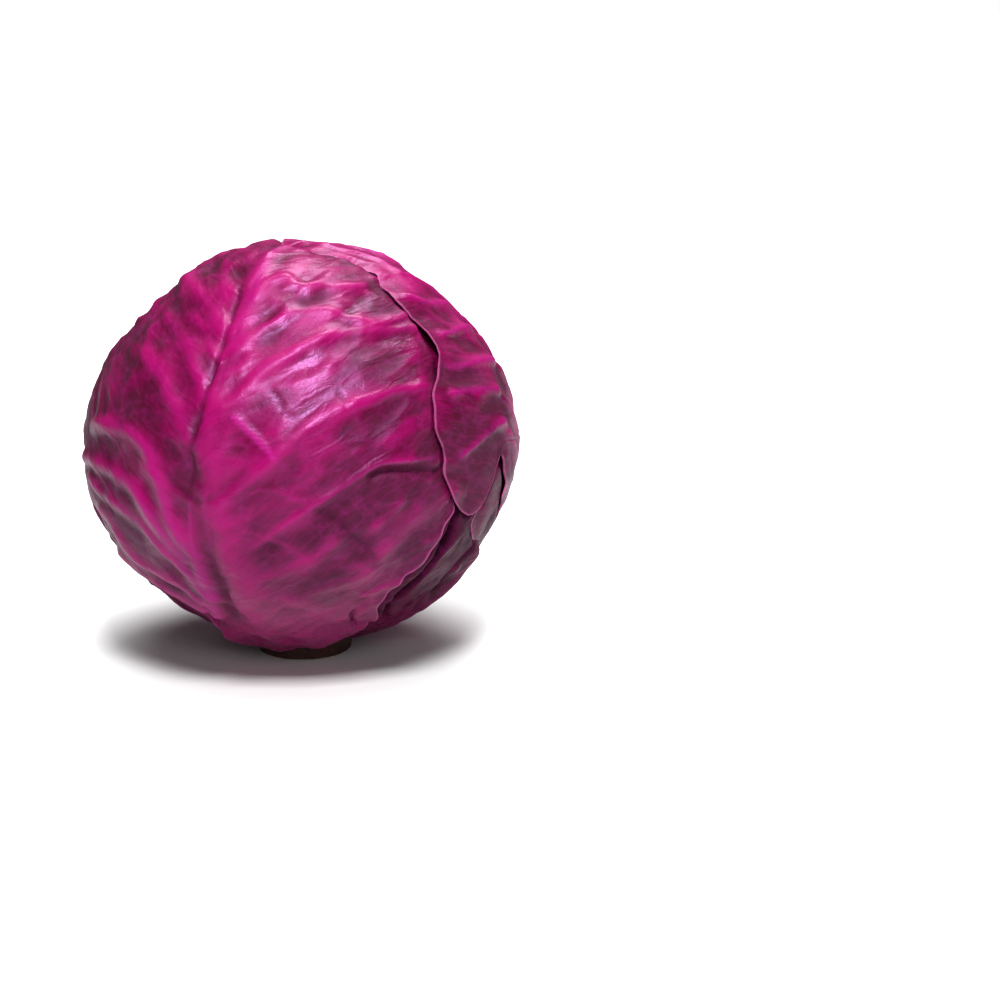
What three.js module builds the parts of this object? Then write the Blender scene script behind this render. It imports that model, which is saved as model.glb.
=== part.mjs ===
// A red cabbage head as it is sold: nine outer leaves wrapped over a closed heart, on a cut stem.
// Lengths are millimetres. The origin is the centre of the stem's cut face, which the head stands
// on. +Z runs up through the crown, and -Y is the side that the front leaf covers.
import * as THREE from "three";
import { mergeVertices } from "three/addons/utils/BufferGeometryUtils.js";

// The head's outline, over its outermost leaves.
const HEAD_RADIUS = 77.5;
const CENTRE_HEIGHT = 76;
const CROWN_FLATTENING = 0.045;
const ROOT_FLATTENING = 0.085;

// The leaves: how thick a blade is, how far apart two blades lie that cover each other, and how
// far beyond a margin the leaf below it takes to rise back to the head's outline.
const LEAF_THICKNESS = 0.9;
const LEAF_PITCH = 2.1;
const MARGIN_RISE = 32;
const LEAF_STEPS = 17;

// No leaf comes closer than this angle, in degrees, to the stem's axis below the head.
const STEM_CLEARANCE_ANGLE = 16;

// The heart and the stem.
const HEART_LAYER = -1;
const HEART_SECTORS = 36;
const HEART_RINGS = 22;
const STEM_SIDES = 40;
const STEM_CUT_RADIUS = 17;
const STEM_BEVEL = 0.6;
const STEM_TOP_RADIUS = 18.6;
const STEM_HEIGHT = 6.2;

// A leaf's margin is a list of [angle, reach]. The reach runs along the head's surface from the
// point where the midrib crosses the equator, and the angle in degrees turns clockwise from the
// tip, as seen from outside.
const FRONT_MARGIN = [
  [-180, 110], [-167, 92], [-158, 72], [-145, 64], [-130, 70], [-112, 84], [-90, 90], [-60, 98],
  [-30, 118], [0, 134], [25, 128], [45, 122], [60, 112], [78, 101], [92, 96], [104, 93], [116, 89],
  [134, 88], [146, 99], [156, 108], [168, 110],
];
const RIGHT_MARGIN = [
  [-170, 95], [-155, 75], [-135, 60], [-112, 62], [-104, 80], [-98, 88], [-86, 95], [-70, 95],
  [-58, 92], [-47, 88], [-38, 94], [-25, 99], [-11, 119], [10, 122], [30, 106], [60, 92],
  [90, 88], [120, 84], [150, 82], [170, 98],
];
const REAR_RIGHT_MARGIN = [
  [-170, 98], [-150, 80], [-130, 76], [-118, 79], [-111, 91], [-100, 93], [-80, 94], [-45, 94],
  [-15, 104], [15, 104], [50, 96], [80, 90], [105, 86], [130, 78], [155, 84], [172, 98],
];
const INNER_FRONT_MARGIN = [
  [-172, 100], [-150, 84], [-125, 76], [-95, 80], [-60, 88], [-25, 108], [0, 116], [30, 106],
  [60, 90], [90, 84], [112, 84], [120, 80], [130, 87], [142, 92], [160, 96],
];

/** The margin of a broad leaf that tapers to its foot, by its reach to either side and the tip. */
function broadMargin(left, right, tip) {
  const foot = 100;
  return [
    [-170, foot], [-148, left * 0.9], [-120, left * 0.88], [-90, left], [-55, left * 1.06],
    [-25, tip * 0.94], [0, tip], [25, tip * 0.93], [55, right * 1.05], [90, right],
    [120, right * 0.9], [148, right * 0.88], [170, foot],
  ];
}

// The leaves from the innermost to the outermost. The azimuth of a leaf's midrib is in degrees
// from -Y towards +X.
const LEAVES = [
  { name: "inner_left_leaf", azimuth: -122, colour: 0x8a0f52, margin: broadMargin(84, 82, 116) },
  { name: "inner_back_leaf", azimuth: 178, colour: 0x8f1057, margin: broadMargin(86, 84, 118) },
  { name: "inner_right_leaf", azimuth: 62, colour: 0x7c0d48, margin: broadMargin(80, 86, 116) },
  { name: "inner_front_leaf", azimuth: -4, colour: 0x8c1255, margin: INNER_FRONT_MARGIN },
  { name: "left_leaf", azimuth: -90, colour: 0x93165c, margin: broadMargin(88, 92, 114) },
  { name: "rear_right_leaf", azimuth: 122, colour: 0x860f50, margin: REAR_RIGHT_MARGIN },
  { name: "back_leaf", azimuth: -160, colour: 0x95145e, margin: broadMargin(92, 90, 118) },
  { name: "front_leaf", azimuth: -24, colour: 0xa8127a, margin: FRONT_MARGIN },
  { name: "right_leaf", azimuth: 112, colour: 0x8a1054, margin: RIGHT_MARGIN },
];
const HEART_COLOUR = 0x9a1a66;
const STEM_COLOUR = 0x6b4a3c;

/** A plant surface: a waxy leaf or a dull cut stem, by its roughness. */
function plantMaterial(colour, roughness) {
  return new THREE.MeshStandardMaterial({ color: colour, roughness, metalness: 0 });
}

/** The distance from the head's centre to its outline along a unit direction. */
function outlineRadius(direction) {
  const flattening = direction.z > 0 ? CROWN_FLATTENING : ROOT_FLATTENING;
  return HEAD_RADIUS * (1 - flattening * direction.z ** 2);
}

/** The point that lies at a distance from the head's centre along a unit direction. */
function pointOnHead(direction, radius) {
  return direction.clone().multiplyScalar(radius).add(new THREE.Vector3(0, 0, CENTRE_HEIGHT));
}

/** A leaf's own axes: its centre's direction on the equator, and rightwards and upwards there. */
function leafAxes(leaf) {
  const azimuth = THREE.MathUtils.degToRad(leaf.azimuth);
  return {
    centre: new THREE.Vector3(Math.sin(azimuth), -Math.cos(azimuth), 0),
    right: new THREE.Vector3(Math.cos(azimuth), Math.sin(azimuth), 0),
    up: new THREE.Vector3(0, 0, 1),
  };
}

/** The direction of a point of the flat leaf, x and y being distances from its centre. */
function directionOfLeafPoint(axes, x, y) {
  const distance = Math.hypot(x, y);
  if (distance === 0) return axes.centre.clone();
  const angle = distance / HEAD_RADIUS;
  return axes.centre.clone().multiplyScalar(Math.cos(angle))
    .addScaledVector(axes.right, (Math.sin(angle) * x) / distance)
    .addScaledVector(axes.up, (Math.sin(angle) * y) / distance);
}

/** The reach of a margin at an angle in degrees, by a smooth curve through its points. */
function smoothReach(margin, angle) {
  const count = margin.length;
  const after = margin.findIndex(([pointAngle]) => pointAngle > angle);
  const start = (after < 0 ? count : after) - 1;
  const point = (index) => {
    const lap = Math.floor(index / count);
    const [pointAngle, reach] = margin[index - lap * count];
    return [pointAngle + lap * 360, reach];
  };
  const [p, q, r, s] = [-1, 0, 1, 2].map((offset) => point(start + offset));
  const span = r[0] - q[0];
  const t = (angle - q[0]) / span;
  const slopeStart = ((r[1] - p[1]) / (r[0] - p[0])) * span;
  const slopeEnd = ((s[1] - q[1]) / (s[0] - q[0])) * span;
  return q[1] * (2 * t ** 3 - 3 * t ** 2 + 1) + slopeStart * (t ** 3 - 2 * t ** 2 + t)
    + r[1] * (3 * t ** 2 - 2 * t ** 3) + slopeEnd * (t ** 3 - t ** 2);
}

/** How far a leaf reaches from its centre towards the flat point x, y, short of the stem. */
function marginReach(leaf, x, y) {
  const angle = THREE.MathUtils.radToDeg(Math.atan2(x, y));
  const reach = smoothReach(leaf.margin, angle);
  const descent = -y / Math.hypot(x, y);
  const stemLevel = Math.cos(THREE.MathUtils.degToRad(STEM_CLEARANCE_ANGLE));
  if (descent <= stemLevel) return reach;
  return Math.min(reach, HEAD_RADIUS * Math.asin(stemLevel / descent));
}

/** 1 where a leaf covers a direction, falling to 0 where it is MARGIN_RISE past its margin. */
function coverage(leaf, direction) {
  const axes = leafAxes(leaf);
  const angle = direction.angleTo(axes.centre);
  const distance = angle * HEAD_RADIUS;
  if (angle === 0) return 1;
  const x = direction.dot(axes.right);
  const y = direction.dot(axes.up);
  const beyond = distance - marginReach(leaf, x, y);
  return 1 - THREE.MathUtils.smoothstep(beyond, 0, MARGIN_RISE);
}

/** The outer surface of a leaf or of the heart, held down by each leaf that covers it. */
function layerRadius(layer, direction) {
  const covering = LEAVES.slice(layer + 1).map((leaf) => coverage(leaf, direction));
  return outlineRadius(direction) - LEAF_PITCH * covering.reduce((sum, share) => sum + share, 0);
}

/** The edge of a grid of points, counter-clockwise, as [column, row] pairs. */
function gridBoundary(steps) {
  const range = Array.from({ length: steps }, (_, index) => index);
  return [
    ...range.map((index) => [index, 0]),
    ...range.map((index) => [steps, index]),
    ...range.map((index) => [steps - index, steps]),
    ...range.map((index) => [0, steps - index]),
  ];
}

/** A closed sheet from a square grid of outer points and one of inner points. */
function sheetGeometry(steps, outerAndInnerPoint) {
  const side = steps + 1;
  const positions = [[], []];
  for (let row = 0; row < side; row += 1) {
    for (let column = 0; column < side; column += 1) {
      outerAndInnerPoint(column, row).forEach((point, face) => positions[face].push(...point));
    }
  }
  const outer = (column, row) => row * side + column;
  const inner = (column, row) => side * side + outer(column, row);
  const triangles = [];
  for (let row = 0; row < steps; row += 1) {
    for (let column = 0; column < steps; column += 1) {
      const corners = [[column, row], [column + 1, row], [column + 1, row + 1], [column, row + 1]];
      const diagonalUp = (column + 0.5 - steps / 2) * (row + 0.5 - steps / 2) >= 0;
      const [a, b, c, d] = diagonalUp ? corners : [corners[1], corners[2], corners[3], corners[0]];
      triangles.push(outer(...a), outer(...b), outer(...c), outer(...a), outer(...c), outer(...d));
      triangles.push(inner(...a), inner(...c), inner(...b), inner(...a), inner(...d), inner(...c));
    }
  }
  const boundary = gridBoundary(steps);
  boundary.forEach((here, index) => {
    const next = boundary[(index + 1) % boundary.length];
    triangles.push(outer(...next), outer(...here), inner(...here));
    triangles.push(outer(...next), inner(...here), inner(...next));
  });
  const geometry = new THREE.BufferGeometry();
  geometry.setAttribute("position", new THREE.Float32BufferAttribute(positions.flat(), 3));
  geometry.setIndex(triangles);
  geometry.computeVertexNormals();
  return geometry;
}

/** One leaf, laid on the layers below it and held down by the leaves above it. */
function leafMesh(leaf, layer) {
  const axes = leafAxes(leaf);
  const geometry = sheetGeometry(LEAF_STEPS, (column, row) => {
    const u = (2 * column) / LEAF_STEPS - 1;
    const v = (2 * row) / LEAF_STEPS - 1;
    const discX = u * Math.sqrt(1 - (v * v) / 2);
    const discY = v * Math.sqrt(1 - (u * u) / 2);
    const reach = u === 0 && v === 0 ? 0 : marginReach(leaf, discX, discY);
    const direction = directionOfLeafPoint(axes, discX * reach, discY * reach);
    const radius = layerRadius(layer, direction);
    return [pointOnHead(direction, radius), pointOnHead(direction, radius - LEAF_THICKNESS)];
  });
  const mesh = new THREE.Mesh(geometry, plantMaterial(leaf.colour, 0.42));
  mesh.name = leaf.name;
  return mesh;
}

/** The heart: the tightly closed inner leaves as one solid, under all the outer leaves. */
function heartMesh() {
  const sphere = new THREE.SphereGeometry(1, HEART_SECTORS, HEART_RINGS);
  sphere.rotateX(Math.PI / 2);
  sphere.deleteAttribute("normal");
  sphere.deleteAttribute("uv");
  const geometry = mergeVertices(sphere);
  const positions = geometry.getAttribute("position");
  for (let index = 0; index < positions.count; index += 1) {
    const direction = new THREE.Vector3().fromBufferAttribute(positions, index).normalize();
    positions.setXYZ(index, ...pointOnHead(direction, layerRadius(HEART_LAYER, direction)));
  }
  geometry.computeVertexNormals();
  const mesh = new THREE.Mesh(geometry, plantMaterial(HEART_COLOUR, 0.4));
  mesh.name = "heart";
  return mesh;
}

/** The stem's stump: a flat cut face below, flaring to where the leaves and the heart start. */
function stemMesh() {
  const profile = [
    new THREE.Vector2(0, 0),
    new THREE.Vector2(STEM_CUT_RADIUS - STEM_BEVEL, 0),
    new THREE.Vector2(STEM_CUT_RADIUS, STEM_BEVEL),
    new THREE.Vector2(STEM_CUT_RADIUS, STEM_HEIGHT / 2),
    new THREE.Vector2(STEM_TOP_RADIUS, STEM_HEIGHT),
    new THREE.Vector2(0, STEM_HEIGHT),
  ];
  const geometry = new THREE.LatheGeometry(profile, STEM_SIDES);
  geometry.rotateX(Math.PI / 2);
  const mesh = new THREE.Mesh(geometry, plantMaterial(STEM_COLOUR, 0.75));
  mesh.name = "stem";
  return mesh;
}

const cabbageHead = new THREE.Group();
cabbageHead.add(stemMesh(), heartMesh(), ...LEAVES.map(leafMesh));

export default cabbageHead;
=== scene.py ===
"""A red cabbage head: nine veined outer leaves wrapped over a closed heart, on a cut stem."""

import logging
import math
from dataclasses import dataclass, field
from enum import Enum

import bpy
import numpy as np
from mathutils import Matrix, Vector


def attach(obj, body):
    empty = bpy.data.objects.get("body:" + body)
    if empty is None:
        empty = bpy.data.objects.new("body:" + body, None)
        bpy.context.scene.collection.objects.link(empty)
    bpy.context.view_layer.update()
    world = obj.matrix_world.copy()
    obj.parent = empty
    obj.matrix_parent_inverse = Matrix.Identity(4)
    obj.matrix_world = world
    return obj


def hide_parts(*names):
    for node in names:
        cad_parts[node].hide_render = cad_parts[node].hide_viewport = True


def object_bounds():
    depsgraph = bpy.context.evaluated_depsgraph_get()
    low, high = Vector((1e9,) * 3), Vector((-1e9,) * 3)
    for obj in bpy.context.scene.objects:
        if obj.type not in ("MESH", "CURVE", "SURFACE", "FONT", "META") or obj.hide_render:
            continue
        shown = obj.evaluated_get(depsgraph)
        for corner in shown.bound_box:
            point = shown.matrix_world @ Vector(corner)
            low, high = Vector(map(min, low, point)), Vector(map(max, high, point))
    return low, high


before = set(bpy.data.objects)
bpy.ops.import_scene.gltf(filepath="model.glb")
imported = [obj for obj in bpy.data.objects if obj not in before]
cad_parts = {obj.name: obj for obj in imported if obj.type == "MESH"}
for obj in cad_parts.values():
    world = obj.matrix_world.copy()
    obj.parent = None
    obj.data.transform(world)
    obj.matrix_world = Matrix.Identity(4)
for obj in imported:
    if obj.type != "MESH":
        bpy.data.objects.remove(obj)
FRAME_LOW, FRAME_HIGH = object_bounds()

LOG = logging.getLogger("cabbage_head")
ROOT_BODY = "root"

Points = tuple[tuple[float, float], ...]
Colour = tuple[float, float, float, float]
BLACK: Colour = (0.0, 0.0, 0.0, 1.0)
WHITE: Colour = (1.0, 1.0, 1.0, 1.0)

# Lengths on the leaves are millimetres. Blender's own units are metres.
MILLIMETRE = 0.001
TINY = 1e-6
FAR = 1e9

# Each vertex of a leaf carries its veins, rim, foot and tone, and a map of the flat leaf.
MARKS_NAME = "marks"
LEAF_MAP_NAME = "leaf_map"
LEAF_MAP_UNIT = 100.0

# Levels on the flat leaf, below its centre. Above its top, the foot has given way to the blade, in
# colour and in thickness. A fade is the length over which it does.
FOOT_COLOUR_TOP = -46.0
FOOT_COLOUR_FADE = 50.0
FOOT_THICK_TOP = -66.0
FOOT_THICK_FADE = 32.0

# Where a midrib and its lowest side veins start, where they aren't given.
MIDRIB_ROOT = -100.0
FIRST_VEIN = -84.0

# Edges sharper than these are shaded as edges.
LEAF_EDGE_ANGLE = math.radians(60.0)
STEM_EDGE_ANGLE = math.radians(50.0)

# The side veins leave the midrib at about 55 degrees: the shares are its sine and cosine.
VEIN_OUTWARD = 0.82
VEIN_UPWARD = 0.57


class LeafDetail(Enum):
    """How many steps a leaf's grid has each way."""

    SHOWN = 205
    COVERED = 110


class Look(Enum):
    """How a leaf is coloured: bright, dark with painted shade, or shaded by the leaves over it."""

    BRIGHT = "bright_cabbage_leaf"
    DARK = "dark_cabbage_leaf"
    SHADED = "shaded_cabbage_leaf"


class Side(Enum):
    """A side of a leaf's midrib, as seen from outside the head."""

    LEFT = -1.0
    RIGHT = 1.0


def smoothstep(value: np.ndarray) -> np.ndarray:
    """The smooth ramp from 0 at 0 to 1 at 1.

    Args:
        value: The place along the ramp.

    Returns:
        The ramp's height there.
    """
    t = np.clip(value, 0.0, 1.0)
    return t * t * (3.0 - 2.0 * t)


def smooth_path(points: Points, step: float) -> np.ndarray:
    """A smooth path through given points.

    Args:
        points: The points that the path passes through, in order.
        step: The distance between the path's points, about, in millimetres.

    Returns:
        The path's points, one a row.
    """
    given = np.array(points, float)
    before = 2.0 * given[0] - given[1]
    after = 2.0 * given[-1] - given[-2]
    knots = np.vstack([before, given, after])
    pieces = []
    for index in range(1, len(knots) - 2):
        a, b, c, d = knots[index - 1 : index + 3]
        count = max(2, int(np.linalg.norm(c - b) / step))
        t = np.linspace(0.0, 1.0, count, endpoint=False)[:, None]
        pieces.append(
            0.5
            * (
                2.0 * b
                + (c - a) * t
                + (2.0 * a - 5.0 * b + 4.0 * c - d) * t**2
                + (3.0 * b - a - 3.0 * c + d) * t**3
            )
        )
    return np.vstack([*pieces, given[-1:]])


def box_blur(image: np.ndarray, half_width: int, passes: int = 3) -> np.ndarray:
    """A picture blurred evenly by repeated running means.

    Args:
        image: The picture, one value a cell.
        half_width: How many cells the mean reaches to either side.
        passes: How often the mean is taken each way.

    Returns:
        The blurred picture, of the same size.
    """
    window = 2 * half_width + 1
    for _ in range(passes):
        for axis in (0, 1):
            pad = [(0, 0), (0, 0)]
            pad[axis] = (half_width + 1, half_width)
            total = np.cumsum(np.pad(image, pad, mode="edge"), axis=axis)
            high = np.take(total, range(window, total.shape[axis]), axis=axis)
            low = np.take(total, range(0, total.shape[axis] - window), axis=axis)
            image = (high - low) / window
    return image


@dataclass(frozen=True)
class HeadShape:
    """The head's outline over its outermost leaves, taken from the frame's box.

    Attributes:
        radius: The radius at the widest level, in millimetres.
        centre_height: The centre's height over the stem's cut face.
        crown_flattening: How much shorter the crown's radius is, as a share.
        shoulder_taper: How much slimmer the head is half way up to the crown, as a share.
        root_flattening: How much shorter the radius at the stem is, as a share.
        lower_taper: How much slimmer the head is half way down to the stem, as a share.
        waviness: How far the outline swells and sinks over broad patches.
    """

    radius: float = 0.5 * (FRAME_HIGH.x - FRAME_LOW.x) / MILLIMETRE
    centre_height: float = 76.0
    crown_flattening: float = 0.036
    shoulder_taper: float = 0.036
    root_flattening: float = 0.085
    lower_taper: float = 0.036
    waviness: float = 0.7

    def outline(self, directions: np.ndarray) -> np.ndarray:
        """The outline's distance from the centre.

        Args:
            directions: Unit directions from the centre, one a row.

        Returns:
            The distance along each direction, in millimetres.
        """
        upward = directions[:, 2]
        flattening = np.where(upward > 0.0, self.crown_flattening, self.root_flattening)
        swells = (
            np.sin(5.1 * directions[:, 0] + 2.3 * directions[:, 2] + 0.7)
            + np.sin(4.3 * directions[:, 1] - 5.7 * directions[:, 2] + 2.1)
            + np.sin(6.2 * directions[:, 0] + 4.9 * directions[:, 1] + 4.0)
        )
        low, high = np.minimum(upward, 0.0) ** 2, np.maximum(upward, 0.0) ** 2
        taper = 1.0 - flattening * upward**2 - self.lower_taper * 4.0 * low * (1.0 - low)
        taper -= self.shoulder_taper * (4.0 * high * (1.0 - high)) ** 3
        return self.radius * taper + self.waviness * (swells / 3.0 - 0.35)

    def place(self, directions: np.ndarray, radii: np.ndarray) -> np.ndarray:
        """Points at given distances from the centre.

        Args:
            directions: Unit directions from the centre, one a row.
            radii: The distances in millimetres.

        Returns:
            The points in metres, one a row.
        """
        points = directions * radii[:, None]
        points[:, 2] += self.centre_height
        return points * MILLIMETRE


HEAD = HeadShape()


@dataclass(frozen=True)
class LeafPlane:
    """A leaf spread flat: x to its right, y to its tip, from its midrib's point on the equator.

    Attributes:
        azimuth: Where the midrib crosses the equator, in degrees from -Y towards +X.
    """

    azimuth: float

    def axes(self) -> tuple[np.ndarray, np.ndarray, np.ndarray]:
        """The flat leaf's axes on the head.

        Returns:
            The direction of its centre, and rightwards and upwards there.
        """
        turn = math.radians(self.azimuth)
        centre = np.array([math.sin(turn), -math.cos(turn), 0.0])
        right = np.array([math.cos(turn), math.sin(turn), 0.0])
        return centre, right, np.array([0.0, 0.0, 1.0])

    def to_directions(self, x: np.ndarray, y: np.ndarray) -> np.ndarray:
        """Turns points of the flat leaf into directions.

        Args:
            x: The points' x in millimetres.
            y: Their y.

        Returns:
            Unit directions from the head's centre, one a row.
        """
        centre, right, up = self.axes()
        distance = np.maximum(np.hypot(x, y), TINY)
        angle = distance / HEAD.radius
        side = np.sin(angle) / distance
        outward = np.cos(angle)[:, None] * centre
        return outward + (side * x)[:, None] * right + (side * y)[:, None] * up

    def from_directions(self, directions: np.ndarray) -> tuple[np.ndarray, np.ndarray]:
        """Turns directions into points of the flat leaf.

        Args:
            directions: Unit directions from the head's centre, one a row.

        Returns:
            The points' x and y in millimetres.
        """
        centre, right, up = self.axes()
        angle = np.arccos(np.clip(directions @ centre, -1.0, 1.0))
        stretch = HEAD.radius * angle / np.maximum(np.sin(angle), TINY)
        return stretch * (directions @ right), stretch * (directions @ up)


@dataclass(frozen=True)
class Margin:
    """A leaf's margin, as points of [angle clockwise from the tip, reach from the centre].

    Attributes:
        points: The angle in degrees and the reach in millimetres, by rising angle.
        ripple: How far the margin waves in and out between the points.
        stem_clearance: The least angle, in degrees, to the stem's axis below the head.
    """

    points: Points
    ripple: float = 0.7
    stem_clearance: float = 16.0

    def reach(self, x: np.ndarray, y: np.ndarray) -> np.ndarray:
        """How far the leaf reaches towards flat points, on a smooth curve that stops at the stem.

        Args:
            x: The points' x in millimetres.
            y: Their y.

        Returns:
            The reach from the leaf's centre in each point's direction.
        """
        angle = np.degrees(np.arctan2(x, y))
        given = np.array(self.points, float)
        lap = np.array([360.0, 0.0])
        knots = np.vstack([given[-2:] - lap, given, given[:2] + lap])
        slopes = np.zeros(len(knots))
        slopes[1:-1] = (knots[2:, 1] - knots[:-2, 1]) / (knots[2:, 0] - knots[:-2, 0])
        start = np.clip(np.searchsorted(knots[:, 0], angle, side="right") - 1, 1, len(knots) - 3)
        span = knots[start + 1, 0] - knots[start, 0]
        t = (angle - knots[start, 0]) / span
        reach = (
            knots[start, 1] * (2 * t**3 - 3 * t**2 + 1)
            + slopes[start] * span * (t**3 - 2 * t**2 + t)
            + knots[start + 1, 1] * (3 * t**2 - 2 * t**3)
            + slopes[start + 1] * span * (t**3 - t**2)
        )
        phase = np.radians(angle)
        reach = reach + self.ripple * (np.sin(23 * phase) + 0.6 * np.sin(41 * phase + 1.0))
        descent = -y / np.maximum(np.hypot(x, y), TINY)
        stem_level = math.cos(math.radians(self.stem_clearance))
        beside_stem = np.arcsin(np.clip(stem_level / np.maximum(descent, stem_level), -1.0, 1.0))
        return np.where(descent > stem_level, np.minimum(reach, HEAD.radius * beside_stem), reach)


@dataclass(frozen=True)
class Patch:
    """A patch of painted shade or painted light on the blade: darker or lighter than the rest.

    Attributes:
        x: Its middle on the flat leaf, in millimetres.
        y: Its middle on the flat leaf.
        spread: How far it reaches.
        tone: How much lighter it is, or darker where this is negative.
    """

    x: float
    y: float
    spread: float
    tone: float


@dataclass(frozen=True)
class Rib:
    """A raised vein, or a crease where its height is negative, on the flat leaf.

    Attributes:
        points: The points it runs through, from its root outwards.
        widths: Its half width at its root and at its end, in millimetres.
        heights: Its height at its root and at its end, in millimetres.
        paleness: How much of the veins' pale colour it has there, from 0 to 1.
    """

    points: Points
    widths: tuple[float, float]
    heights: tuple[float, float]
    paleness: tuple[float, float]

    def is_crease(self) -> bool:
        """Whether it goes down instead of up."""
        return self.heights[0] < 0.0


@dataclass
class LeafRelief:
    """Pictures of one flat leaf: its relief, its veins and how far it covers what lies below.

    Attributes:
        reach: Half the width of the pictures, in millimetres.
        step: The size of a cell, in millimetres.
        flank_spread: How many times wider a rib's flank is than its crest.
        flank_share: The flank's share of a rib's height.
        seam_width: The half width of the seams between puckered panels, in millimetres.
        seam_share: How far a seam stands up and how pale it is, as a share.
        base_tone: The tone of an even blade.
        tone_swing: How far panels differ in tone.
        painted_relief_shading: How much lighter a millimetre's rise makes the blade, and darker a
            hollow: painted light on ridges, painted shade in hollows.
            midrib_tone_light_note_placeholder
        painted_midrib_light: How much lighter the blade is beside the midrib, more so towards the
            tip: painted light from above.
        midrib_spread: How far from the midrib that reaches, in millimetres.
        x: The cells' x.
        y: The cells' y.
        raised: How high the ribs stand.
        sunk: How far creases and puckers go down or up.
        vein: How pale the veins are, from 0 to 1.
        inside: 1 inside the leaf and 0 outside, softened for covering.
        rim: The same, softened less, for the margin.
        tone: How light the blade is, from 0 to 1, with painted shade and painted light in it.
    """

    reach: float = 138.0
    step: float = 0.9
    flank_spread: float = 2.7
    flank_share: float = 0.32
    seam_width: float = 1.7
    seam_share: float = 0.16
    base_tone: float = 0.28
    tone_swing: float = 0.34
    painted_relief_shading: float = 0.30
    painted_midrib_light: float = 0.30
    midrib_spread: float = 34.0
    x: np.ndarray = field(init=False)
    y: np.ndarray = field(init=False)
    raised: np.ndarray = field(init=False)
    sunk: np.ndarray = field(init=False)
    vein: np.ndarray = field(init=False)
    inside: np.ndarray = field(init=False)
    rim: np.ndarray = field(init=False)
    tone: np.ndarray = field(init=False)

    def __post_init__(self) -> None:
        """Lays out the empty pictures."""
        line = np.arange(-self.reach, self.reach + self.step, self.step)
        self.x, self.y = np.meshgrid(line, line)
        self.raised = np.zeros_like(self.x)
        self.sunk = np.zeros_like(self.x)
        self.vein = np.zeros_like(self.x)
        self.tone = np.zeros_like(self.x)

    def window(self, path: np.ndarray, border: float) -> tuple[slice, slice]:
        """The cells around a path.

        Args:
            path: The path's points, one a row.
            border: How far the cells go beyond it, in millimetres.

        Returns:
            The rows and the columns.
        """
        low = np.floor((path.min(axis=0) - border + self.reach) / self.step).astype(int)
        high = np.ceil((path.max(axis=0) + border + self.reach) / self.step).astype(int)
        low = np.clip(low, 0, self.x.shape[0] - 1)
        high = np.clip(high, 1, self.x.shape[0])
        return slice(low[1], high[1]), slice(low[0], high[0])

    def press(self, rib: Rib) -> None:
        """Adds a rib or a crease to the relief.

        Args:
            rib: The rib, in the flat leaf's millimetres.
        """
        path = smooth_path(rib.points, 3.0)
        cells = self.window(path, 7.0 * max(rib.widths))
        x, y = self.x[cells], self.y[cells]
        nearest = np.full(x.shape, FAR)
        along = np.zeros(x.shape)
        count = len(path) - 1
        for index in range(count):
            start, way = path[index], path[index + 1] - path[index]
            length = float(way @ way)
            t = np.clip(((x - start[0]) * way[0] + (y - start[1]) * way[1]) / length, 0.0, 1.0)
            distance = (x - start[0] - t * way[0]) ** 2 + (y - start[1] - t * way[1]) ** 2
            closer = distance < nearest
            nearest = np.where(closer, distance, nearest)
            along = np.where(closer, (index + t) / count, along)
        width = rib.widths[0] + (rib.widths[1] - rib.widths[0]) * along
        height = rib.heights[0] + (rib.heights[1] - rib.heights[0]) * along
        distance = np.sqrt(nearest)
        taper = smoothstep((1.0 - along) / 0.12 + 0.15)
        if rib.is_crease():
            taper = taper * smoothstep(along / 0.2 + 0.1)
            self.sunk[cells] += height * np.exp(-((distance / width) ** 2)) * taper
            return
        crest = np.exp(-((distance / width) ** 2)) * taper
        flank = np.exp(-((distance / (self.flank_spread * width)) ** 2)) * taper
        rise = height * ((1.0 - self.flank_share) * crest + self.flank_share * flank)
        self.raised[cells] = (self.raised[cells] ** 3 + rise**3) ** (1.0 / 3.0)
        paleness = rib.paleness[0] + (rib.paleness[1] - rib.paleness[0]) * along
        paleness = np.maximum(paleness, 0.0)
        self.vein[cells] = np.maximum(self.vein[cells], paleness * crest**1.3)

    def flow(self) -> tuple[np.ndarray, np.ndarray]:
        """The distances along and across the side veins.

        Returns:
            Each cell's distance along them, and across them.
        """
        side = np.abs(self.x)
        along = VEIN_OUTWARD * side + VEIN_UPWARD * self.y
        return along, VEIN_OUTWARD * self.y - VEIN_UPWARD * side

    def swells(self, rng: np.random.Generator, size: float) -> np.ndarray:
        """Smooth random swells of standard deviation 1.

        Args:
            rng: The random numbers that they draw.
            size: A swell's size in millimetres, about.

        Returns:
            Their height in each cell.
        """
        soft = box_blur(rng.normal(size=self.x.shape), max(1, round(size / self.step / 3.0)))
        return soft / soft.std()

    def crumple(
        self, rng: np.random.Generator, along: np.ndarray, across: np.ndarray, depth: float
    ) -> None:
        """Adds fine folds that run with the side veins, and broader dents.

        Args:
            rng: The random numbers that this leaf draws.
            along: The distance along the side veins.
            across: The distance across them.
            depth: The puckers' depth in millimetres.
        """
        # The two sides of the midrib read different parts of the swells.
        other_side = 30.0 * (self.x < 0.0)
        folds = self.sample(self.swells(rng, 5.0), along / 2.6 - 20.0, 0.7 * across + other_side)
        wide = self.sample(self.swells(rng, 9.0), along / 2.0 - 20.0, 0.7 * across - other_side)
        dents = self.swells(rng, 14.0)
        towards_tip = smoothstep((self.y - 25.0) / 45.0)
        creased = 0.30 * (0.8 - np.abs(folds)) + 0.34 * (0.8 - np.abs(wide))
        self.sunk += depth * (0.85 + 0.55 * towards_tip) * (creased + 0.30 * dents)

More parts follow.
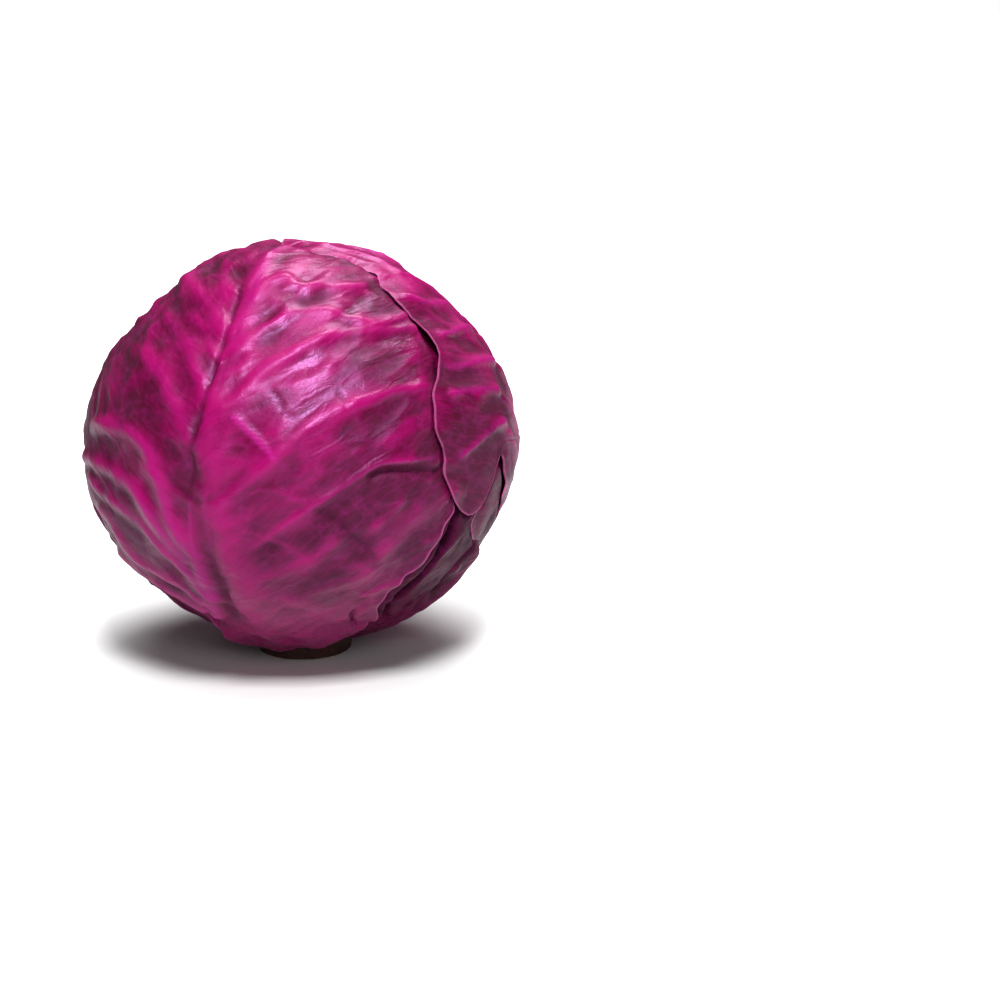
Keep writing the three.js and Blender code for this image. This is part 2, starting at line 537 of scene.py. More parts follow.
    def shade(self, patches: tuple[Patch, ...]) -> None:
        """Paints shade into the tone in hollows, and paints light on ridges and beside the midrib.

        Args:
            patches: Patches of painted shade and painted light, given one by one.
        """
        height = self.raised + self.sunk
        # Painted light and shade: the blade is lighter where it rises over its surroundings and
        # darker in hollows and creases.
        rise = height - box_blur(height, 6)
        # Painted light from above: lighter beside the midrib, more so towards the tip.
        towards_tip = smoothstep((self.y + 30.0) / 60.0)
        beside_midrib = np.exp(-((self.x / self.midrib_spread) ** 2)) * (0.35 + 0.65 * towards_tip)
        tone = self.base_tone + self.tone_swing * (self.tone - 0.5)
        tone = tone + self.painted_relief_shading * rise + self.painted_midrib_light * beside_midrib
        # The patches paint shade and light into the tone.
        for patch in patches:
            away = ((self.x - patch.x) ** 2 + (self.y - patch.y) ** 2) / patch.spread**2
            tone = tone + patch.tone * np.exp(-away)
        self.tone = np.clip(tone, 0.0, 1.0)

    def pucker(self, seed: int, size: float, depth: float) -> None:
        """Breaks the blade between the veins into tilted, puckered panels.

        Args:
            seed: The seed of the panels' places and tilts.
            size: A panel's width across the side veins, in millimetres.
            depth: How far a panel tilts and bulges, in millimetres.
        """
        rng = np.random.default_rng(seed)
        along, across = self.flow()
        self.crumple(rng, along, across, depth)
        warp = 2.2 * np.sin(self.x / 9.0 + 1.3 * np.sin(self.y / 14.0))
        # The left side's panels are set apart from the right side's, so the midrib parts them.
        left_shift = 400.0
        along, across = along / 1.55 + warp, across + left_shift * (self.x < 0.0) + warp
        nearest = np.full(self.x.shape, FAR)
        second = np.full(self.x.shape, FAR)
        lift = np.zeros(self.x.shape)
        tilt = np.zeros(self.x.shape)
        shade = np.zeros(self.x.shape)
        for shift in (0.0, left_shift):
            for row in np.arange(-130.0, 130.0, size):
                for column in np.arange(-80.0, 130.0, size):
                    place = np.array([column, row]) + rng.uniform(-0.42, 0.42, 2) * size
                    bulge, lean_a, lean_b, dark = rng.uniform(-1.0, 1.0, 4)
                    a, b = along - place[0], across - place[1] - shift
                    distance = np.hypot(a, b)
                    closer = distance < nearest
                    second = np.where(closer, nearest, np.minimum(second, distance))
                    nearest = np.where(closer, distance, nearest)
                    lift = np.where(closer, bulge, lift)
                    tilt = np.where(closer, (lean_a * a + lean_b * b) / size, tilt)
                    shade = np.where(closer, dark, shade)
        edge = second - nearest
        panel = smoothstep(edge / (0.5 * size))
        self.sunk += depth * panel * (0.45 * lift + 1.25 * tilt)
        seam = self.seam_share * np.exp(-((edge / self.seam_width) ** 2))
        self.sunk += depth * seam
        self.vein = np.maximum(self.vein, seam)
        self.tone = box_blur(0.5 + 0.5 * shade, 3, 2)

    def bound(self, inside: np.ndarray) -> None:
        """Takes the leaf's outline and softens it, much for covering and little for the rim."""
        self.inside = box_blur(inside.astype(float), 5)
        self.rim = box_blur(inside.astype(float), 1, 2)

    def sample(self, picture: np.ndarray, x: np.ndarray, y: np.ndarray) -> np.ndarray:
        """A picture's values at flat points.

        Args:
            picture: One of this leaf's pictures.
            x: The points' x, in millimetres.
            y: The points' y, in millimetres.

        Returns:
            The values, in between the cells' own.
        """
        last = picture.shape[0] - 2
        column = np.clip((x + self.reach) / self.step, 0.0, last + 0.999)
        row = np.clip((y + self.reach) / self.step, 0.0, last + 0.999)
        c, r = column.astype(int), row.astype(int)
        s, t = column - c, row - r
        low = picture[r, c] * (1 - s) + picture[r, c + 1] * s
        high = picture[r + 1, c] * (1 - s) + picture[r + 1, c + 1] * s
        return low * (1 - t) + high * t


@dataclass(frozen=True)
class HangingLobe:
    """A lobe of the left margin that hangs down past its own root.

    Attributes:
        start: How far left of the centre the lobe starts to drop, in millimetres.
        end: Where it has dropped all the way.
        drop: How far it drops.
    """

    start: float
    end: float
    drop: float

    def fall(self, x: np.ndarray) -> np.ndarray:
        """How far the lobe has dropped at each x."""
        return self.drop * smoothstep((-x - self.start) / (self.end - self.start))


@dataclass(frozen=True)
class Curl:
    """A stretch of margin that stands off the leaf below.

    Attributes:
        x: The stretch's middle on the flat leaf.
        y: The stretch's middle on the flat leaf.
        spread: How far the stretch runs to either side of its middle.
        lift: How far the margin stands off, in millimetres.
    """

    x: float
    y: float
    spread: float
    lift: float


@dataclass(frozen=True)
class LeafHabit:
    """How a leaf's veins grow where they aren't given.

    Attributes:
        seed: The seed of this leaf's veins and panels.
        side_veins: How many side veins leave the midrib on each side.
        midrib_width: The midrib's half width at its root, in millimetres.
        midrib_height: The midrib's height at its root.
        sway: How far the midrib swings to either side.
        panel: The width of a puckered panel.
        depth: How deep the puckers are.
    """

    seed: int
    side_veins: int = 8
    midrib_width: float = 6.5
    midrib_height: float = 3.6
    sway: float = 3.0
    panel: float = 15.0
    depth: float = 0.8

    def midrib(self, tip: float) -> Rib:
        """The midrib, from beside the stem to short of the tip.

        Args:
            tip: How far the leaf reaches to its tip, in millimetres.

        Returns:
            The midrib.
        """
        rng = np.random.default_rng(self.seed)
        lean, phase = rng.uniform(-1.0, 1.0), rng.uniform(0.0, 6.0)
        heights = np.linspace(MIDRIB_ROOT, tip - 10.0, 9)
        points = tuple(
            (self.sway * (math.sin(0.028 * y + phase) + 0.4 * lean), float(y)) for y in heights
        )
        return Rib(points, (self.midrib_width, 1.5), (self.midrib_height, 0.8), (0.5, 0.9))

    def branch(
        self, root: tuple[float, float], heading: float, bend: float, length: float
    ) -> Points:
        """A vein that leaves a point and bends steadily.

        Args:
            root: The point that it leaves.
            heading: Its heading there, in degrees from the tip.
            bend: How far it turns up to its end, in degrees.
            length: Its length in millimetres.

        Returns:
            The vein's points.
        """
        x, y = root
        steps = 7
        points = [(x, y)]
        for _ in range(steps):
            turn = math.radians(heading)
            x += math.sin(turn) * length / steps
            y += math.cos(turn) * length / steps
            points.append((x, y))
            heading += bend / steps
        return tuple(points)

    def grow(self, midrib: Rib, margin: Margin, tip: float) -> list[Rib]:
        """The side veins with their forks.

        Args:
            midrib: The midrib that they leave.
            margin: The leaf's margin, which they stop short of.
            tip: How far the leaf reaches to its tip, in millimetres.

        Returns:
            Each side vein with its forks after it.
        """
        rng = np.random.default_rng(self.seed + 50)
        path = smooth_path(midrib.points, 2.0)
        look_ahead = 60.0
        ribs: list[Rib] = []
        for side in Side:
            for index in range(self.side_veins):
                place = index + 0.5 * (side is Side.RIGHT) + rng.uniform(-0.12, 0.12)
                share = place / self.side_veins
                root_y = FIRST_VEIN + (tip + 60.0) * max(0.0, share) ** 1.15
                root_x = float(np.interp(root_y, path[:, 1], path[:, 0]))
                heading = 40.0 + 22.0 * min(1.0, 2.2 * share) + rng.uniform(-5.0, 5.0)
                way = np.array([side.value * math.sin(math.radians(heading))])
                up = np.array([math.cos(math.radians(heading))])
                ahead_x, ahead_y = way * look_ahead, np.array([root_y]) + up * look_ahead
                limit = float(margin.reach(ahead_x, ahead_y)[0])
                length = max(28.0, min(92.0, 0.86 * limit * (1.0 - 0.25 * share)))
                bend = rng.uniform(-14.0, 16.0)
                root = (root_x, root_y)
                points = self.branch(root, side.value * heading, -side.value * bend, length)
                strength = 1.0 - 0.45 * share
                ribs.append(Rib(points, (3.2 * strength, 1.3), (2.3 * strength, 0.7), (0.5, 0.35)))
                ribs.extend(self.forks(points, side, heading, length, strength, rng))
        return ribs

    def forks(
        self,
        points: Points,
        side: Side,
        heading: float,
        length: float,
        strength: float,
        rng: np.random.Generator,
    ) -> list[Rib]:
        """The forks of one side vein.

        Args:
            points: The side vein's points.
            side: The side of the midrib that it lies on.
            heading: Its heading at its root, in degrees from the tip.
            length: Its length in millimetres.
            strength: Its thickness as a share of the thickest.
            rng: The random numbers that this leaf draws.

        Returns:
            The forks.
        """
        made = []
        for place in (2, 3, 4, 5):
            away = rng.uniform(24.0, 40.0) * (1 if place % 2 else -1)
            root = points[place]
            reach = length * (0.46 - 0.06 * place) * rng.uniform(0.8, 1.25)
            turn = side.value * (heading + away)
            fork = self.branch(root, turn, -side.value * away * 0.5, reach)
            made.append(Rib(fork, (1.7 * strength, 0.9), (1.2 * strength, 0.4), (0.32, 0.2)))
        return made


@dataclass
class Leaf:
    """One wrapper leaf as a closed, thin, veined sheet.

    Attributes:
        name: The leaf's name, which is also its CAD node's.
        slot: The record's material slot; not used.
        plane: Where the leaf lies.
        margin: Its outline.
        tip: How far it reaches to its tip.
        habit: How its veins grow.
        detail: How fine its mesh is.
        pitch: How far it holds the leaves below it down, in millimetres.
        ribs: Veins and creases given one by one. Side veins grow only where there are none.
        midrib: A midrib given in full, if any.
        lobe: A hanging lobe of its left margin, if any.
        curls: Where its margin stands off.
        patches: Where shade or light is painted on its blade, darker or lighter.
        blade: The blade's thickness in millimetres.
        foot_thickness: The thickness of the petiole at the stem.
        look: How it is coloured.
        relief: Its relief, once it has grown.
    """

    name: str
    slot: str
    plane: LeafPlane
    margin: Margin
    tip: float
    habit: LeafHabit
    detail: LeafDetail
    pitch: float = 1.7
    ribs: tuple[Rib, ...] = ()
    midrib: Rib | None = None
    lobe: HangingLobe | None = None
    curls: tuple[Curl, ...] = ()
    patches: tuple[Patch, ...] = ()
    blade: float = 0.8
    foot_thickness: float = 4.5
    look: Look = Look.BRIGHT
    relief: LeafRelief = field(init=False)

    def drawn(self, x: np.ndarray, y: np.ndarray) -> np.ndarray:
        """The y of flat points before the hanging lobe dropped."""
        return y if self.lobe is None else y + self.lobe.fall(x)

    def grow(self) -> None:
        """Draws the leaf's relief, veins and outline."""
        self.relief = LeafRelief()
        self.relief.pucker(self.habit.seed, self.habit.panel, self.habit.depth)
        midrib = self.midrib or self.habit.midrib(self.tip)
        self.relief.press(midrib)
        for rib in self.ribs or self.habit.grow(midrib, self.margin, self.tip):
            self.relief.press(rib)
        self.relief.shade(self.patches)
        x = self.relief.x.ravel()
        y = self.drawn(x, self.relief.y.ravel())
        inside = np.hypot(x, y) <= self.margin.reach(x, y)
        self.relief.bound(inside.reshape(self.relief.x.shape))

    def height(self, x: np.ndarray, y: np.ndarray) -> np.ndarray:
        """How far the leaf stands over its even surface at flat points."""
        return self.relief.sample(self.relief.raised + self.relief.sunk, x, y)

    def cover(self, x: np.ndarray, y: np.ndarray) -> np.ndarray:
        """1 where the leaf lies over flat points, falling to 0 past its margin."""
        return smoothstep((self.relief.sample(self.relief.inside, x, y) - 0.22) / 0.55)

    def margin_lift(self, x: np.ndarray, y: np.ndarray) -> np.ndarray:
        """How far the margin stands off.

        Args:
            x: Flat points' x.
            y: Their y.

        Returns:
            How far it stands off at the points, in millimetres: nothing away from the margin.
        """
        near = np.clip(2.0 - 2.0 * self.relief.sample(self.relief.inside, x, y), 0.0, 1.0) ** 1.6
        flutter = 0.14 * np.sin(x / 7.0 + y / 11.0)
        lift = 0.10 + flutter
        for curl in self.curls:
            away = ((x - curl.x) ** 2 + (y - curl.y) ** 2) / curl.spread**2
            lift = lift + curl.lift * np.exp(-away)
        return near * lift

    def rim_share(self, x: np.ndarray, y: np.ndarray) -> np.ndarray:
        """1 on the margin at flat points, falling to 0 just inside it."""
        return 1.0 - np.clip(2.0 * self.relief.sample(self.relief.rim, x, y) - 1.0, 0.0, 1.0)

    def foot_share(self, y: np.ndarray) -> np.ndarray:
        """0 on the blade, rising to 1 on the petiole beside the stem."""
        return smoothstep((FOOT_COLOUR_TOP - y) / FOOT_COLOUR_FADE)

    def thickness(self, x: np.ndarray, y: np.ndarray) -> np.ndarray:
        """The leaf's thickness: thick at the foot and thin at the margin.

        Args:
            x: Flat points' x.
            y: Their y.

        Returns:
            The thickness at the points, in millimetres.
        """
        foot = smoothstep((FOOT_THICK_TOP - y) / FOOT_THICK_FADE)
        blade = self.blade * (1.0 - 0.45 * self.rim_share(x, y))
        return blade + (self.foot_thickness - blade) * foot

    def build(self, wrapping: "Wrapping") -> bpy.types.Object:
        """Makes the leaf's mesh.

        Args:
            wrapping: All the leaves, which decide how far out this one lies.

        Returns:
            The finished piece.
        """
        steps = self.detail.value
        bpy.ops.object.select_all(action="DESELECT")
        bpy.ops.mesh.primitive_grid_add(x_subdivisions=steps, y_subdivisions=steps, size=2.0)
        piece = bpy.context.active_object
        piece.name = piece.data.name = f"{self.name}_blade"
        count = len(piece.data.vertices)
        square = np.empty(count * 3)
        piece.data.vertices.foreach_get("co", square)
        u, v = square.reshape(-1, 3)[:, 0], square.reshape(-1, 3)[:, 1]
        disc_x = u * np.sqrt(1.0 - v * v / 2.0)
        disc_y = v * np.sqrt(1.0 - u * u / 2.0)
        reach = self.margin.reach(disc_x, disc_y)
        x, y = disc_x * reach, disc_y * reach
        if self.lobe is not None:
            y = y - self.lobe.fall(x)
        directions = self.plane.to_directions(x, y)
        radii = wrapping.radii(self, directions)
        piece.data.vertices.foreach_set("co", HEAD.place(directions, radii).ravel())
        self.mark(piece, x, y)
        self.thicken(piece, x, y)
        return piece

    def mark(self, piece: bpy.types.Object, x: np.ndarray, y: np.ndarray) -> None:
        """Stores the leaf map and the veins, rim, foot and tone, which the finish reads.

        Args:
            piece: The leaf's sheet.
            x: Its vertices' x on the flat leaf.
            y: Their y.
        """
        mesh = piece.data
        marks = np.stack(
            [
                self.relief.sample(self.relief.vein, x, y),
                self.rim_share(x, y),
                self.foot_share(y),
                self.relief.sample(self.relief.tone, x, y),
            ],
            axis=1,
        )
        layer = mesh.color_attributes.new(MARKS_NAME, "FLOAT_COLOR", "POINT")
        layer.data.foreach_set("color", marks.astype(np.float32).ravel())
        corners = np.empty(len(mesh.loops), int)
        mesh.loops.foreach_get("vertex_index", corners)
        flat = np.stack([x, y], axis=1)[corners] / LEAF_MAP_UNIT
        leaf_map = mesh.uv_layers.active or mesh.uv_layers.new()
        leaf_map.name = LEAF_MAP_NAME
        leaf_map.data.foreach_set("uv", flat.astype(np.float32).ravel())

    def thicken(self, piece: bpy.types.Object, x: np.ndarray, y: np.ndarray) -> None:
        """Gives the sheet its thickness, inwards.

        Args:
            piece: The leaf's sheet.
            x: Its vertices' x on the flat leaf.
            y: Their y.
        """
        levels = 40
        share = np.clip(self.thickness(x, y) / self.foot_thickness, 0.0, 1.0)
        level = np.round(share * levels).astype(int)
        group = piece.vertex_groups.new(name="thickness")
        for value in np.unique(level):
            group.add(np.flatnonzero(level == value).tolist(), value / levels, "REPLACE")
        wall = piece.modifiers.new("wall", "SOLIDIFY")
        wall.thickness = self.foot_thickness * MILLIMETRE
        wall.offset = -1.0
        wall.vertex_group = group.name
        bpy.ops.object.modifier_apply(modifier=wall.name)
        piece.vertex_groups.clear()
        bpy.ops.object.shade_smooth_by_angle(angle=LEAF_EDGE_ANGLE)

    def dress(self, piece: bpy.types.Object, material: bpy.types.Material) -> None:
        """Gives the piece its finish and its place in the frame.

        Args:
            piece: The leaf's mesh.
            material: The finish.
        """
        finish_piece(piece, material, self.name)


def finish_piece(
    piece: bpy.types.Object, material: bpy.types.Material, node: str
) -> None:
    """Gives a piece its finish and hides the CAD node that it stands for.

    Args:
        piece: The finished mesh.
        material: Its finish.
        node: The CAD node that it replaces.
    """
    piece.data.materials.clear()
    piece.data.materials.append(material)
    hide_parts(node)
    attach(piece, ROOT_BODY)
    triangles = sum(len(polygon.vertices) - 2 for polygon in piece.data.polygons)
    LOG.info("%s: %d triangles", piece.name, triangles)


@dataclass
class Wrapping:
    """The leaves in the order they lie, the innermost first.

    Attributes:
        leaves: The leaves.
    """

    leaves: list[Leaf]

    def radii(self, layer: Leaf | None, directions: np.ndarray) -> np.ndarray:
        """How far out a leaf's outer surface lies, or the heart's.

        Args:
            layer: The leaf, or None for the heart.
            directions: Unit directions from the head's centre.

        Returns:
            The distances from the head's centre, in millimetres.
        """
        above = self.leaves if layer is None else self.leaves[self.leaves.index(layer) + 1 :]
        radii = HEAD.outline(directions)
        shown = np.ones(len(radii))
        for leaf in reversed(above):
            x, y = leaf.plane.from_directions(directions)
            cover = leaf.cover(x, y)
            radii += cover * (leaf.height(x, y) * shown - leaf.pitch)
            shown *= 1.0 - cover
        if layer is not None:
            x, y = layer.plane.from_directions(directions)
            radii += shown * layer.height(x, y)
            radii += shown * layer.margin_lift(x, y)
        return radii


@dataclass
class Graph:
    """A node tree while it is wired.

    Attributes:
        tree: The node tree.
    """

    tree: bpy.types.NodeTree

    def add(self, kind: str, **settings: object) -> bpy.types.Node:
        """Adds a node.

        Args:
            kind: The node's type.
            settings: Its settings, by their names.

        Returns:
            The node.
        """
        node = self.tree.nodes.new(kind)
        for name, value in settings.items():
            setattr(node, name, value)
        return node

    def feed(self, socket: bpy.types.NodeSocket, value: object) -> None:
        """Fills an input.

        Args:
            socket: The input.
            value: The output to link to it, or a constant to set.
        """
        if isinstance(value, bpy.types.NodeSocket):
            self.tree.links.new(value, socket)
        else:
            socket.default_value = value

    def math(self, operation: str, first: object, second: object = 0.0) -> bpy.types.NodeSocket:
        """A sum, product or other operation.

        Args:
            operation: The operation's name.
            first: The first value.
            second: The second value.

        Returns:
            The result.
        """
        node = self.add("ShaderNodeMath", operation=operation)
        self.feed(node.inputs[0], first)
        self.feed(node.inputs[1], second)
        return node.outputs[0]

    def total(self, *layers: tuple[bpy.types.NodeSocket, float]) -> bpy.types.NodeSocket:
        """Several layers added up.

        Args:
            layers: Each layer with its strength.

        Returns:
            The sum of the layers, each times its strength.
        """
        scaled = [self.math("MULTIPLY", layer, strength) for layer, strength in layers]
        result = scaled[0]
        for layer in scaled[1:]:
            result = self.math("ADD", result, layer)
        return result

    def ramp(
        self, value: object, low: float, high: float, start: float = 0.0, end: float = 1.0
    ) -> bpy.types.NodeSocket:
        """A smooth ramp.

        Args:
            value: The value that drives it.
            low: Where it starts.
            high: Where it ends.
            start: What it gives at low.
            end: What it gives at high.

        Returns:
            The ramp's value.
        """
        node = self.add("ShaderNodeMapRange", interpolation_type="SMOOTHSTEP")
        for index, entry in enumerate((value, low, high, start, end)):
            self.feed(node.inputs[index], entry)
        return node.outputs[0]

    def mix(self, factor: object, first: object, second: object) -> bpy.types.NodeSocket:
        """Two colours blended.

        Args:
            factor: The second colour's share.
            first: The first colour.
            second: The second colour.

        Returns:
            The blended colour.
        """
        node = self.add("ShaderNodeMix", data_type="RGBA")
        self.feed(node.inputs[0], factor)
        self.feed(node.inputs[6], first)
        self.feed(node.inputs[7], second)
        return node.outputs[2]

    def noise(
        self, vector: object, scale: float, detail: float = 3.0, roughness: float = 0.55
    ) -> bpy.types.NodeSocket:
        """Cloudy noise.

        Args:
            vector: Where it is read.
            scale: How many clouds there are in a unit.
            detail: How many finer layers it has.
            roughness: How strong the finer layers are.

        Returns:
            The noise, from 0 to 1.
        """
        node = self.add("ShaderNodeTexNoise")
        self.feed(node.inputs["Vector"], vector)
        node.inputs["Scale"].default_value = scale
        node.inputs["Detail"].default_value = detail
        node.inputs["Roughness"].default_value = roughness
        return node.outputs["Fac"]

    def cracks(self, vector: object, scale: float, width: float) -> bpy.types.NodeSocket:
        """Thin lines between irregular cells.

        Args:
            vector: Where they are read.
            scale: How many cells there are in a unit.
            width: A line's half width, as a share of a cell.

        Returns:
            1 on a line, falling to 0 inside a cell.
        """
        node = self.add("ShaderNodeTexVoronoi", feature="DISTANCE_TO_EDGE")
        self.feed(node.inputs["Vector"], vector)
        node.inputs["Scale"].default_value = scale
        return self.ramp(node.outputs["Distance"], 0.0, width, start=1.0, end=0.0)

    def warp(self, vector: object, scale: float, amount: float) -> bpy.types.NodeSocket:
        """A vector pushed about by noise.

        Args:
            vector: The vector.
            scale: How many clouds the noise has in a unit.
            amount: How far it pushes.

        Returns:
            The pushed vector.
        """
        node = self.add("ShaderNodeTexNoise")
        self.feed(node.inputs["Vector"], vector)
        node.inputs["Scale"].default_value = scale
        away = self.add("ShaderNodeVectorMath", operation="MULTIPLY_ADD")
        self.feed(away.inputs[0], node.outputs["Color"])
        away.inputs[1].default_value = (amount, amount, amount)
        self.feed(away.inputs[2], vector)
        return away.outputs[0]


def new_group(
    name: str, inputs: dict[str, str], outputs: dict[str, str]
) -> tuple[Graph, bpy.types.Node, bpy.types.Node]:
    """An empty shader node group with named sockets.

    Args:
        name: The group's name.
        inputs: Each input's socket type, by its name.
        outputs: Each output's socket type, by its name.

    Returns:
        The group's graph, its input node and its output node.
    """
    tree = bpy.data.node_groups.new(name, "ShaderNodeTree")
    for direction, sockets in (("INPUT", inputs), ("OUTPUT", outputs)):
        for socket, kind in sockets.items():
            tree.interface.new_socket(name=socket, in_out=direction, socket_type=kind)
    graph = Graph(tree)
    return graph, graph.add("NodeGroupInput"), graph.add("NodeGroupOutput")


def vein_flow(graph: Graph, leaf_map: bpy.types.NodeSocket) -> bpy.types.NodeSocket:
    """Turns a leaf's map to run along and across the side veins, stretched along them.

    Args:
        graph: The group that reads it.
        leaf_map: The flat leaf's map.

    Returns:
        The turned map.
    """
    stretch = 0.28
    parts = graph.add("ShaderNodeSeparateXYZ")
    graph.feed(parts.inputs[0], graph.warp(leaf_map, scale=7.0, amount=0.06))
    side, up = graph.math("ABSOLUTE", parts.outputs[0]), parts.outputs[1]
    along = graph.total((side, VEIN_OUTWARD), (up, VEIN_UPWARD))
    joined = graph.add("ShaderNodeCombineXYZ")
    graph.feed(joined.inputs[0], graph.math("MULTIPLY", along, stretch))
    graph.feed(joined.inputs[1], graph.total((up, VEIN_OUTWARD), (side, -VEIN_UPWARD)))
    return joined.outputs[0]


def leaf_colour_group() -> bpy.types.NodeTree:
    """The group that colours blade, veins, rim and foot from a leaf's marks.

    Returns:
        The group.
    """
    names = ("Dark Blade", "Light Blade", "Vein", "Foot", "Rim", "Wax")
    inputs = {"Marks": "NodeSocketColor", "Tone": "NodeSocketFloat", "Map": "NodeSocketVector"}
    inputs |= {name: "NodeSocketColor" for name in names}
    graph, given, result = new_group("leaf colour", inputs, {"Colour": "NodeSocketColor"})
    dark, light, vein_colour, foot_colour, rim_colour, wax = (given.outputs[name] for name in names)
    marks = graph.add("ShaderNodeSeparateColor")
    graph.feed(marks.inputs[0], given.outputs["Marks"])
    vein, rim, foot = marks.outputs
    flow = vein_flow(graph, given.outputs["Map"])
    warped = graph.warp(given.outputs["Map"], scale=9.0, amount=0.05)
    cloud = graph.noise(warped, scale=4.5, detail=4.0)
    mottle = graph.noise(warped, scale=22.0, detail=5.0, roughness=0.65)
    streaks = graph.noise(flow, scale=20.0, detail=5.0)
    clouded = graph.total((cloud, 0.8), (streaks, 0.7))
    tone = graph.math("ADD", given.outputs["Tone"], graph.math("SUBTRACT", clouded, 0.72))
    # The tone picks between the dark and the light blade; it holds painted shade and painted light
    # as well as the panels' own tone.
    colour = graph.mix(graph.ramp(tone, 0.05, 0.85), dark, light)
    colour = graph.mix(graph.ramp(mottle, 0.45, 0.75, end=0.22), colour, wax)
    mesh = graph.cracks(flow, scale=24.0, width=0.10)
    colour = graph.mix(graph.math("MULTIPLY", mesh, 0.08), colour, vein_colour)
    colour = graph.mix(graph.math("MULTIPLY", foot, 0.75), colour, foot_colour)
    patchy = graph.ramp(mottle, 0.25, 0.6, start=0.72)
    paleness = graph.math("MULTIPLY", graph.ramp(vein, 0.05, 0.95, end=0.9), patchy)
    colour = graph.mix(paleness, colour, vein_colour)
    # The pale rim: the margin's own paler edge, and a painted highlight where it catches the light.
    colour = graph.mix(graph.ramp(rim, 0.35, 0.95, end=0.75), colour, rim_colour)
    graph.feed(result.inputs["Colour"], colour)
    return graph.tree


def leaf_surface_group() -> bpy.types.NodeTree:
    """The group that gives a leaf its fine relief and its patchy wax.

    Returns:
        The group.
    """
    inputs = {"Map": "NodeSocketVector", "Tone": "NodeSocketFloat"}
    outputs = {"Height": "NodeSocketFloat", "Roughness": "NodeSocketFloat"}
    graph, given, result = new_group("leaf surface", inputs, outputs)
    flow = vein_flow(graph, given.outputs["Map"])
    warped = graph.warp(given.outputs["Map"], scale=9.0, amount=0.05)
    height = graph.total(
        (graph.cracks(flow, scale=15.0, width=0.16), 0.25),
        (graph.cracks(warped, scale=45.0, width=0.2), 0.05),
        (graph.noise(flow, scale=16.0, detail=4.0, roughness=0.5), 1.3),
        (graph.noise(warped, scale=13.0, detail=4.0, roughness=0.5), 0.9),
        (graph.noise(given.outputs["Map"], scale=420.0, detail=2.0), 0.06),
    )
    graph.feed(result.inputs["Height"], height)
    wax = graph.noise(warped, scale=7.0, detail=5.0, roughness=0.6)
    bloom = graph.ramp(wax, 0.35, 0.7, start=0.29, end=0.45)
    scuffs = graph.math("MULTIPLY", graph.noise(warped, scale=60.0), 0.10)
    dull_where_dark = graph.ramp(given.outputs["Tone"], 0.0, 0.34, start=0.30, end=0.0)
    roughness = graph.math("ADD", graph.math("ADD", bloom, scuffs), dull_where_dark)
    graph.feed(result.inputs["Roughness"], roughness)
    return graph.tree


@dataclass(frozen=True)
class LeafGroups:
    """The node groups that every leaf's material shares.

    Attributes:
        colour: Colours a leaf.
        surface: Gives a leaf its fine relief and its wax.
    """

    colour: bpy.types.NodeTree
    surface: bpy.types.NodeTree


@dataclass(frozen=True)
class LeafFinish:
    """The look of a leaf: dark and light blade, pale veins, dull foot and thin pale rim.

    Attributes:
        name: The material's name.
        dark_blade: The blade's colour where its tone is low: its darker panels, and its hollows and
            patches of painted shade.
        light_blade: The blade's colour where its tone is high: its lighter panels, and its ridges,
            the midrib's side and patches of painted light.
        vein: The veins' colour.
        foot: The petiole's colour.
        rim: The thin margin's colour: its own paler edge, with a painted highlight along it.
        wax: The colour of the waxy bloom.
        gloss: The strength of its reflection.
        gloss_tint: The colour of its reflection.
        bump: How far the fine relief stands, in metres.
    """

    name: str
    dark_blade: Colour = (0.050, 0.0003, 0.010, 1.0)
    light_blade: Colour = (0.245, 0.0003, 0.077, 1.0)
    vein: Colour = (0.330, 0.010, 0.165, 1.0)
    foot: Colour = (0.240, 0.011, 0.092, 1.0)
    rim: Colour = (0.340, 0.060, 0.180, 1.0)
    wax: Colour = (0.240, 0.010, 0.125, 1.0)
    gloss: float = 0.40
    gloss_tint: Colour = (0.90, 0.42, 1.0, 1.0)
    bump: float = 0.00032

    def material(self, groups: LeafGroups) -> bpy.types.Material:
        """The leaf's material.

        Args:
            groups: The node groups that every leaf shares.

        Returns:
            The material.
        """
        material = bpy.data.materials.new(self.name)
        material.use_nodes = True
        graph = Graph(material.node_tree)
        skin = graph.tree.nodes["Principled BSDF"]
        marks = graph.add("ShaderNodeAttribute", attribute_name=MARKS_NAME)
        leaf_map = graph.add("ShaderNodeUVMap", uv_map=LEAF_MAP_NAME).outputs[0]
        paint = graph.add("ShaderNodeGroup", node_tree=groups.colour)
        relief = graph.add("ShaderNodeGroup", node_tree=groups.surface)
        for node in (paint, relief):
            graph.feed(node.inputs["Map"], leaf_map)
            graph.feed(node.inputs["Tone"], marks.outputs["Alpha"])
        graph.feed(paint.inputs["Marks"], marks.outputs["Color"])
        for socket, value in (
            ("Dark Blade", self.dark_blade),
            ("Light Blade", self.light_blade),
            ("Vein", self.vein),
            ("Foot", self.foot),
            ("Rim", self.rim),
            ("Wax", self.wax),
        ):
            paint.inputs[socket].default_value = value
        bump = graph.add("ShaderNodeBump")
        bump.inputs["Distance"].default_value = self.bump
        graph.feed(bump.inputs["Height"], relief.outputs["Height"])
        graph.feed(skin.inputs["Normal"], bump.outputs[0])
        graph.feed(skin.inputs["Base Color"], paint.outputs["Colour"])
        graph.feed(skin.inputs["Roughness"], relief.outputs["Roughness"])
        skin.inputs["Specular IOR Level"].default_value = self.gloss
        skin.inputs["Specular Tint"].default_value = self.gloss_tint
        return material


